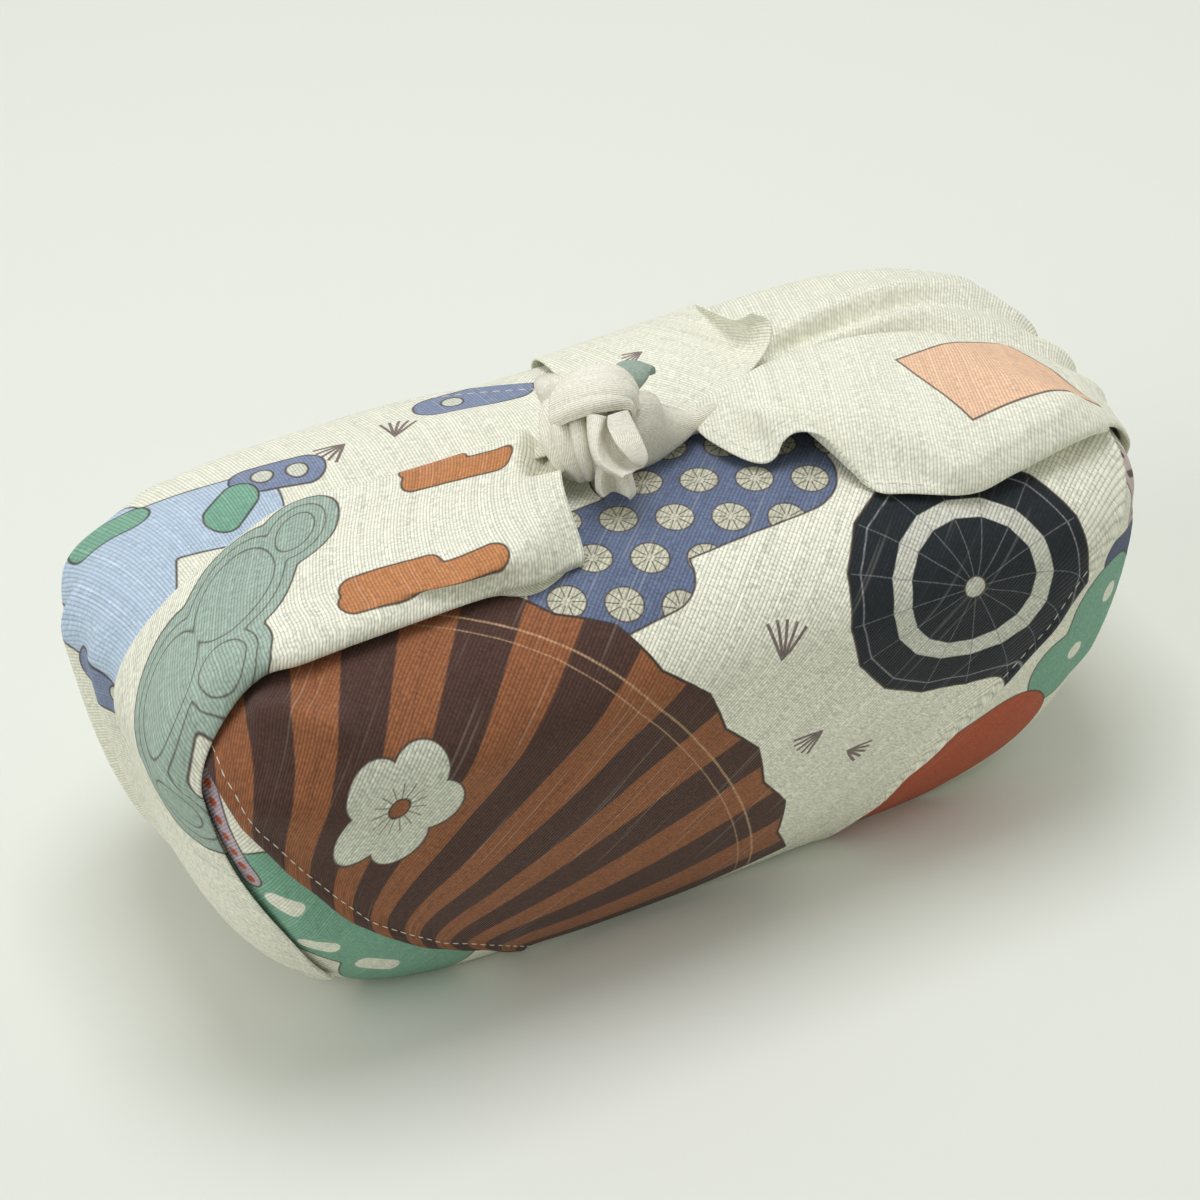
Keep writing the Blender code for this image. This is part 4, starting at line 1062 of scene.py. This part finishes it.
# Places in the knot are in mm to the right of its middle, up its face, and out of it.
KNOT_RIGHT = (0.895, -0.446, -0.021)
KNOT_UP = (0.296, 0.557, 0.776)
KNOT_OUT = (-0.334, -0.700, 0.631)
KNOT_SHEETS = {
    "band": (
        ((-11.5, -0.5, 1), (-7, 1.5, 5), (-2, 3, 7.5), (3, 4, 7.5), (7.5, 4.5, 5), (8.5, 3, 2)),
        ((-12.5, 2, 2), (-7, 4.5, 7), (-2, 6, 9), (3.5, 7, 8.5), (8, 7, 5.5), (9.5, 4, 2)),
        ((-12.5, 7, 1), (-7, 9.5, 5.5), (-1, 11, 7), (4.5, 11.5, 6), (9, 9.5, 3), (10.3, 5, -1)),
        ((-11, 11, -2), (-6, 13.5, 2), (0, 15, 3), (5.5, 14.5, 2), (9.5, 11, -1), (10.8, 5.5, -4)),
        ((-9, 13, -6), (-4, 15.5, -3), (1, 16.6, -2), (6, 15.5, -3), (9.5, 11.5, -6), (10.5, 5, -8)),
        ((-7, 11, -11), (-3, 13.5, -9), (1, 14.5, -8.5), (5, 13, -9), (8, 9, -11), (9, 3, -12)),
    ),
    "leaf tail": (
        ((-2.5, 3, 3), (-2, -4, 3.5), (-0.5, -8.5, 4), (3, -11.8, 5), (6.5, -13, 7)),
        ((-2.9, 2.9, 7), (-2.6, -3.1, 8.5), (-1.3, -8.3, 9.5), (1.3, -11.3, 10), (5.9, -13.6, 10.5)),
        ((-0.5, 3, 9.5), (-0.8, -3, 11), (0, -7.5, 12), (2, -10.4, 12.3), (6.3, -13.4, 12)),
        ((2, 2.5, 8.5), (0.7, -2, 10.3), (1.2, -6, 10), (3.6, -9.3, 9.5), (7.0, -12.6, 11.8)),
        ((2.6, 2.4, 4.5), (2.4, -2.5, 4.5), (3.6, -6, 5), (5.6, -9, 7), (8.4, -11.9, 11.5)),
        ((6, 3, 4.5), (7, 0, 5), (8.2, -4, 6), (9, -7.4, 7.5), (9.9, -10.9, 11.3)),
        ((7.3, 3.9, 7), (9, 0.3, 9), (11.4, -4.9, 10), (12.4, -8, 10.5), (11.4, -10.3, 11.4)),
        ((5.5, 3.5, 9.5), (6.5, -1, 11), (8.5, -5.5, 12), (10, -8.5, 12.3), (10.3, -10, 11.8)),
        ((2.6, 2.5, 9), (2.6, -0.5, 10.3), (4.7, -4.9, 11.7), (8, -8.6, 12.4), (9.5, -10, 12)),
    ),
    "lower tip": (
        ((-0.3, -9, 0), (-0.8, -13, 1), (-0.5, -16.3, 2), (0.8, -18, 2.5)),
        ((1.5, -9, 3), (0.9, -13, 4), (0.9, -16, 4.2), (1.7, -17.9, 4)),
        ((3.5, -9, 1.5), (3.4, -13, 0), (3.8, -15, -1), (4.0, -16.4, -1)),
        ((6, -9, 3), (6.8, -13, 3.5), (7.8, -16, 3.8), (7.6, -18, 3.6)),
        ((8, -9, 0), (9.3, -13.5, 1), (9.8, -16.8, 1.5), (8.4, -18.6, 2.5)),
    ),
}
KNOT_CELLS = (64, 84)
PLEATS = 4                   # in the band, closer together towards its right end
PLEAT_RIDGE = 0.45
STRAND_SIDES = 96
STRAND_STEPS = 56
STRAND_END = 0.08            # of a strand's length, over which it closes at either end
STRAND_DRIFT = 170           # radians a metre, by which its pleats wander round it
KNOT_STRANDS = {
    # rows of place to the right, up and out, half width, half thickness; all in mm
    "lobe": dict(pleats=9, ridge=0.17, across=(1, 0.1, 0.2), rows=(
        (-6.0, 9.0, -6.0, 6.0, 5.0), (-6.4, 4.0, -5.0, 8.2, 7.0), (-5.6, -1.0, -4.5, 8.8, 8.2),
        (-4.2, -6.0, -4.5, 7.8, 7.6), (-2.6, -10.2, -5.0, 5.6, 5.8), (-1.6, -12.8, -6.0, 2.6, 3.0),
    )),
    "right neck": dict(pleats=3, ridge=0.03, across=(0.15, 1, 0.9), rows=(
        (1.0, -2.0, -7.0, 8.0, 7.0), (8.0, -1.0, -9.5, 12.5, 6.6), (13.5, -0.6, -12.6, 10.0, 5.6),
        (19.0, 0.8, -15.5, 5.4, 4.6), (24.5, 2.6, -21.5, 3.0, 2.6), (32.0, 4.5, -28.0, 5.0, 2.0),
    )),
    "upper left tail": dict(pleats=2, ridge=0.08, across=(1, -0.3, 0.0), rows=(
        (-8.0, 6.0, -6.0, 4.5, 3.0), (-11.0, 10.0, -7.0, 5.0, 3.0), (-13.0, 12.5, -9.0, 4.2, 2.4),
        (-14.0, 13.6, -10.5, 2.0, 1.4),
    )),
}
BACK_TIP = dict(pleats=2, ridge=0.10, across=(1, -0.3, 0.3), rows=(
    (4.0, 10.0, -9.0, 4.0, 2.5), (8.5, 14.5, -9.5, 4.6, 2.0), (12.0, 16.0, -11.0, 3.6, 1.6),
    (15.0, 15.0, -12.0, 1.0, 0.8),
))
KNOT_COTTON = 0.45 * MM


def in_knot(places):
    """World places of points given in the knot's own directions."""
    return KNOT_MIDDLE + np.asarray(places) @ np.array((KNOT_RIGHT, KNOT_UP, KNOT_OUT))


def knot_sheet(name, rails):
    """A folded strip of the knot, laid through its rails."""
    along = np.array([smooth_line(rail, KNOT_CELLS[0] + 1) for rail in rails])
    grid = np.array([smooth_line(along[:, i], KNOT_CELLS[1] + 1) for i in range(KNOT_CELLS[0] + 1)])
    points = in_knot(grid * MM)
    if name == "band":
        slope = np.cross(np.gradient(points, axis=0), np.gradient(points, axis=1))
        slope /= np.linalg.norm(slope, axis=-1, keepdims=True)
        onward = np.linspace(0, 1, KNOT_CELLS[0] + 1)[:, None]
        sideways = np.linspace(0, 1, KNOT_CELLS[1] + 1)[None, :]
        wave = np.abs(np.sin(np.pi * (PLEATS * sideways + 0.5 * onward))) ** 0.6
        points = points + slope * (PLEAT_RIDGE * MM * wave * (0.3 + 1.4 * onward))[..., None]
    flat = np.stack([run_lengths(points, 0), run_lengths(points, 1)], axis=-1)
    return sheet_mesh(name.replace(" ", "_"), points, flat, KNOT_COTTON)


def strand(name, form):
    """A bunched strand of the knot, a pleated oval swept along its rows."""
    rows = smooth_line(form["rows"], STRAND_STEPS + 1) * MM
    spine = in_knot(rows[:, :3])
    across = in_knot([form["across"]])[0] - KNOT_MIDDLE
    turns = np.linspace(0, 2 * np.pi, STRAND_SIDES + 1)
    tangents = np.gradient(spine, axis=0)
    travelled = run_lengths(spine[:, None], 0)[:, 0]
    points, flat = [], []
    for i, (place, tangent) in enumerate(zip(spine, tangents)):
        tangent = tangent / np.linalg.norm(tangent)
        wide = across - tangent * across.dot(tangent)
        wide = wide / np.linalg.norm(wide)
        thick = np.cross(tangent, wide)
        drift = 0.5 * np.sin(travelled[i] * STRAND_DRIFT)
        hump = np.abs(np.cos(0.5 * form["pleats"] * turns + drift))
        swell = 1.0 + form["ridge"] * (2 * hump - 1.3)
        ends = min(i, STRAND_STEPS - i) / (STRAND_END * STRAND_STEPS)
        swell = swell * math.sqrt(min(1.0, 0.05 + ends))
        points.append(place + np.outer(np.cos(turns) * swell * rows[i, 3], wide)
                      + np.outer(np.sin(turns) * swell * rows[i, 4], thick))
        flat.append(np.stack([np.full(len(turns), travelled[i]), turns * rows[i, 3] * 1.2], axis=-1))
    return sheet_mesh(name.replace(" ", "_"), np.array(points), np.array(flat), KNOT_COTTON)


# painted light: the knot's cream is lighter than the cream of the rest of the same cloth, to make up for
# the little light its front-facing folds get
dye = Dye("cream cotton, knot, painted lighter")
lightened_knot_cloth = dye.woven(tint("#F8F5E6"), 90, rib=0.6 * MM, depth=0.7, slubs=0.3)
pieces = [knot_sheet(name, rails) for name, rails in KNOT_SHEETS.items()]
pieces += [strand(name, form) for name, form in KNOT_STRANDS.items()]
for piece in pieces:
    piece.data.materials.append(lightened_knot_cloth)
pieces.append(strand("back tip", BACK_TIP))
dye = Dye("grey-green cotton, back tip")
pieces[-1].data.materials.append(dye.woven(GREY_GREEN, 90, rib=0.6 * MM))
bpy.ops.object.select_all(action="DESELECT")
for piece in pieces:
    piece.select_set(True)
knot = pieces[0]
bpy.context.view_layer.objects.active = knot
bpy.ops.object.join()
knot.name = "knot"
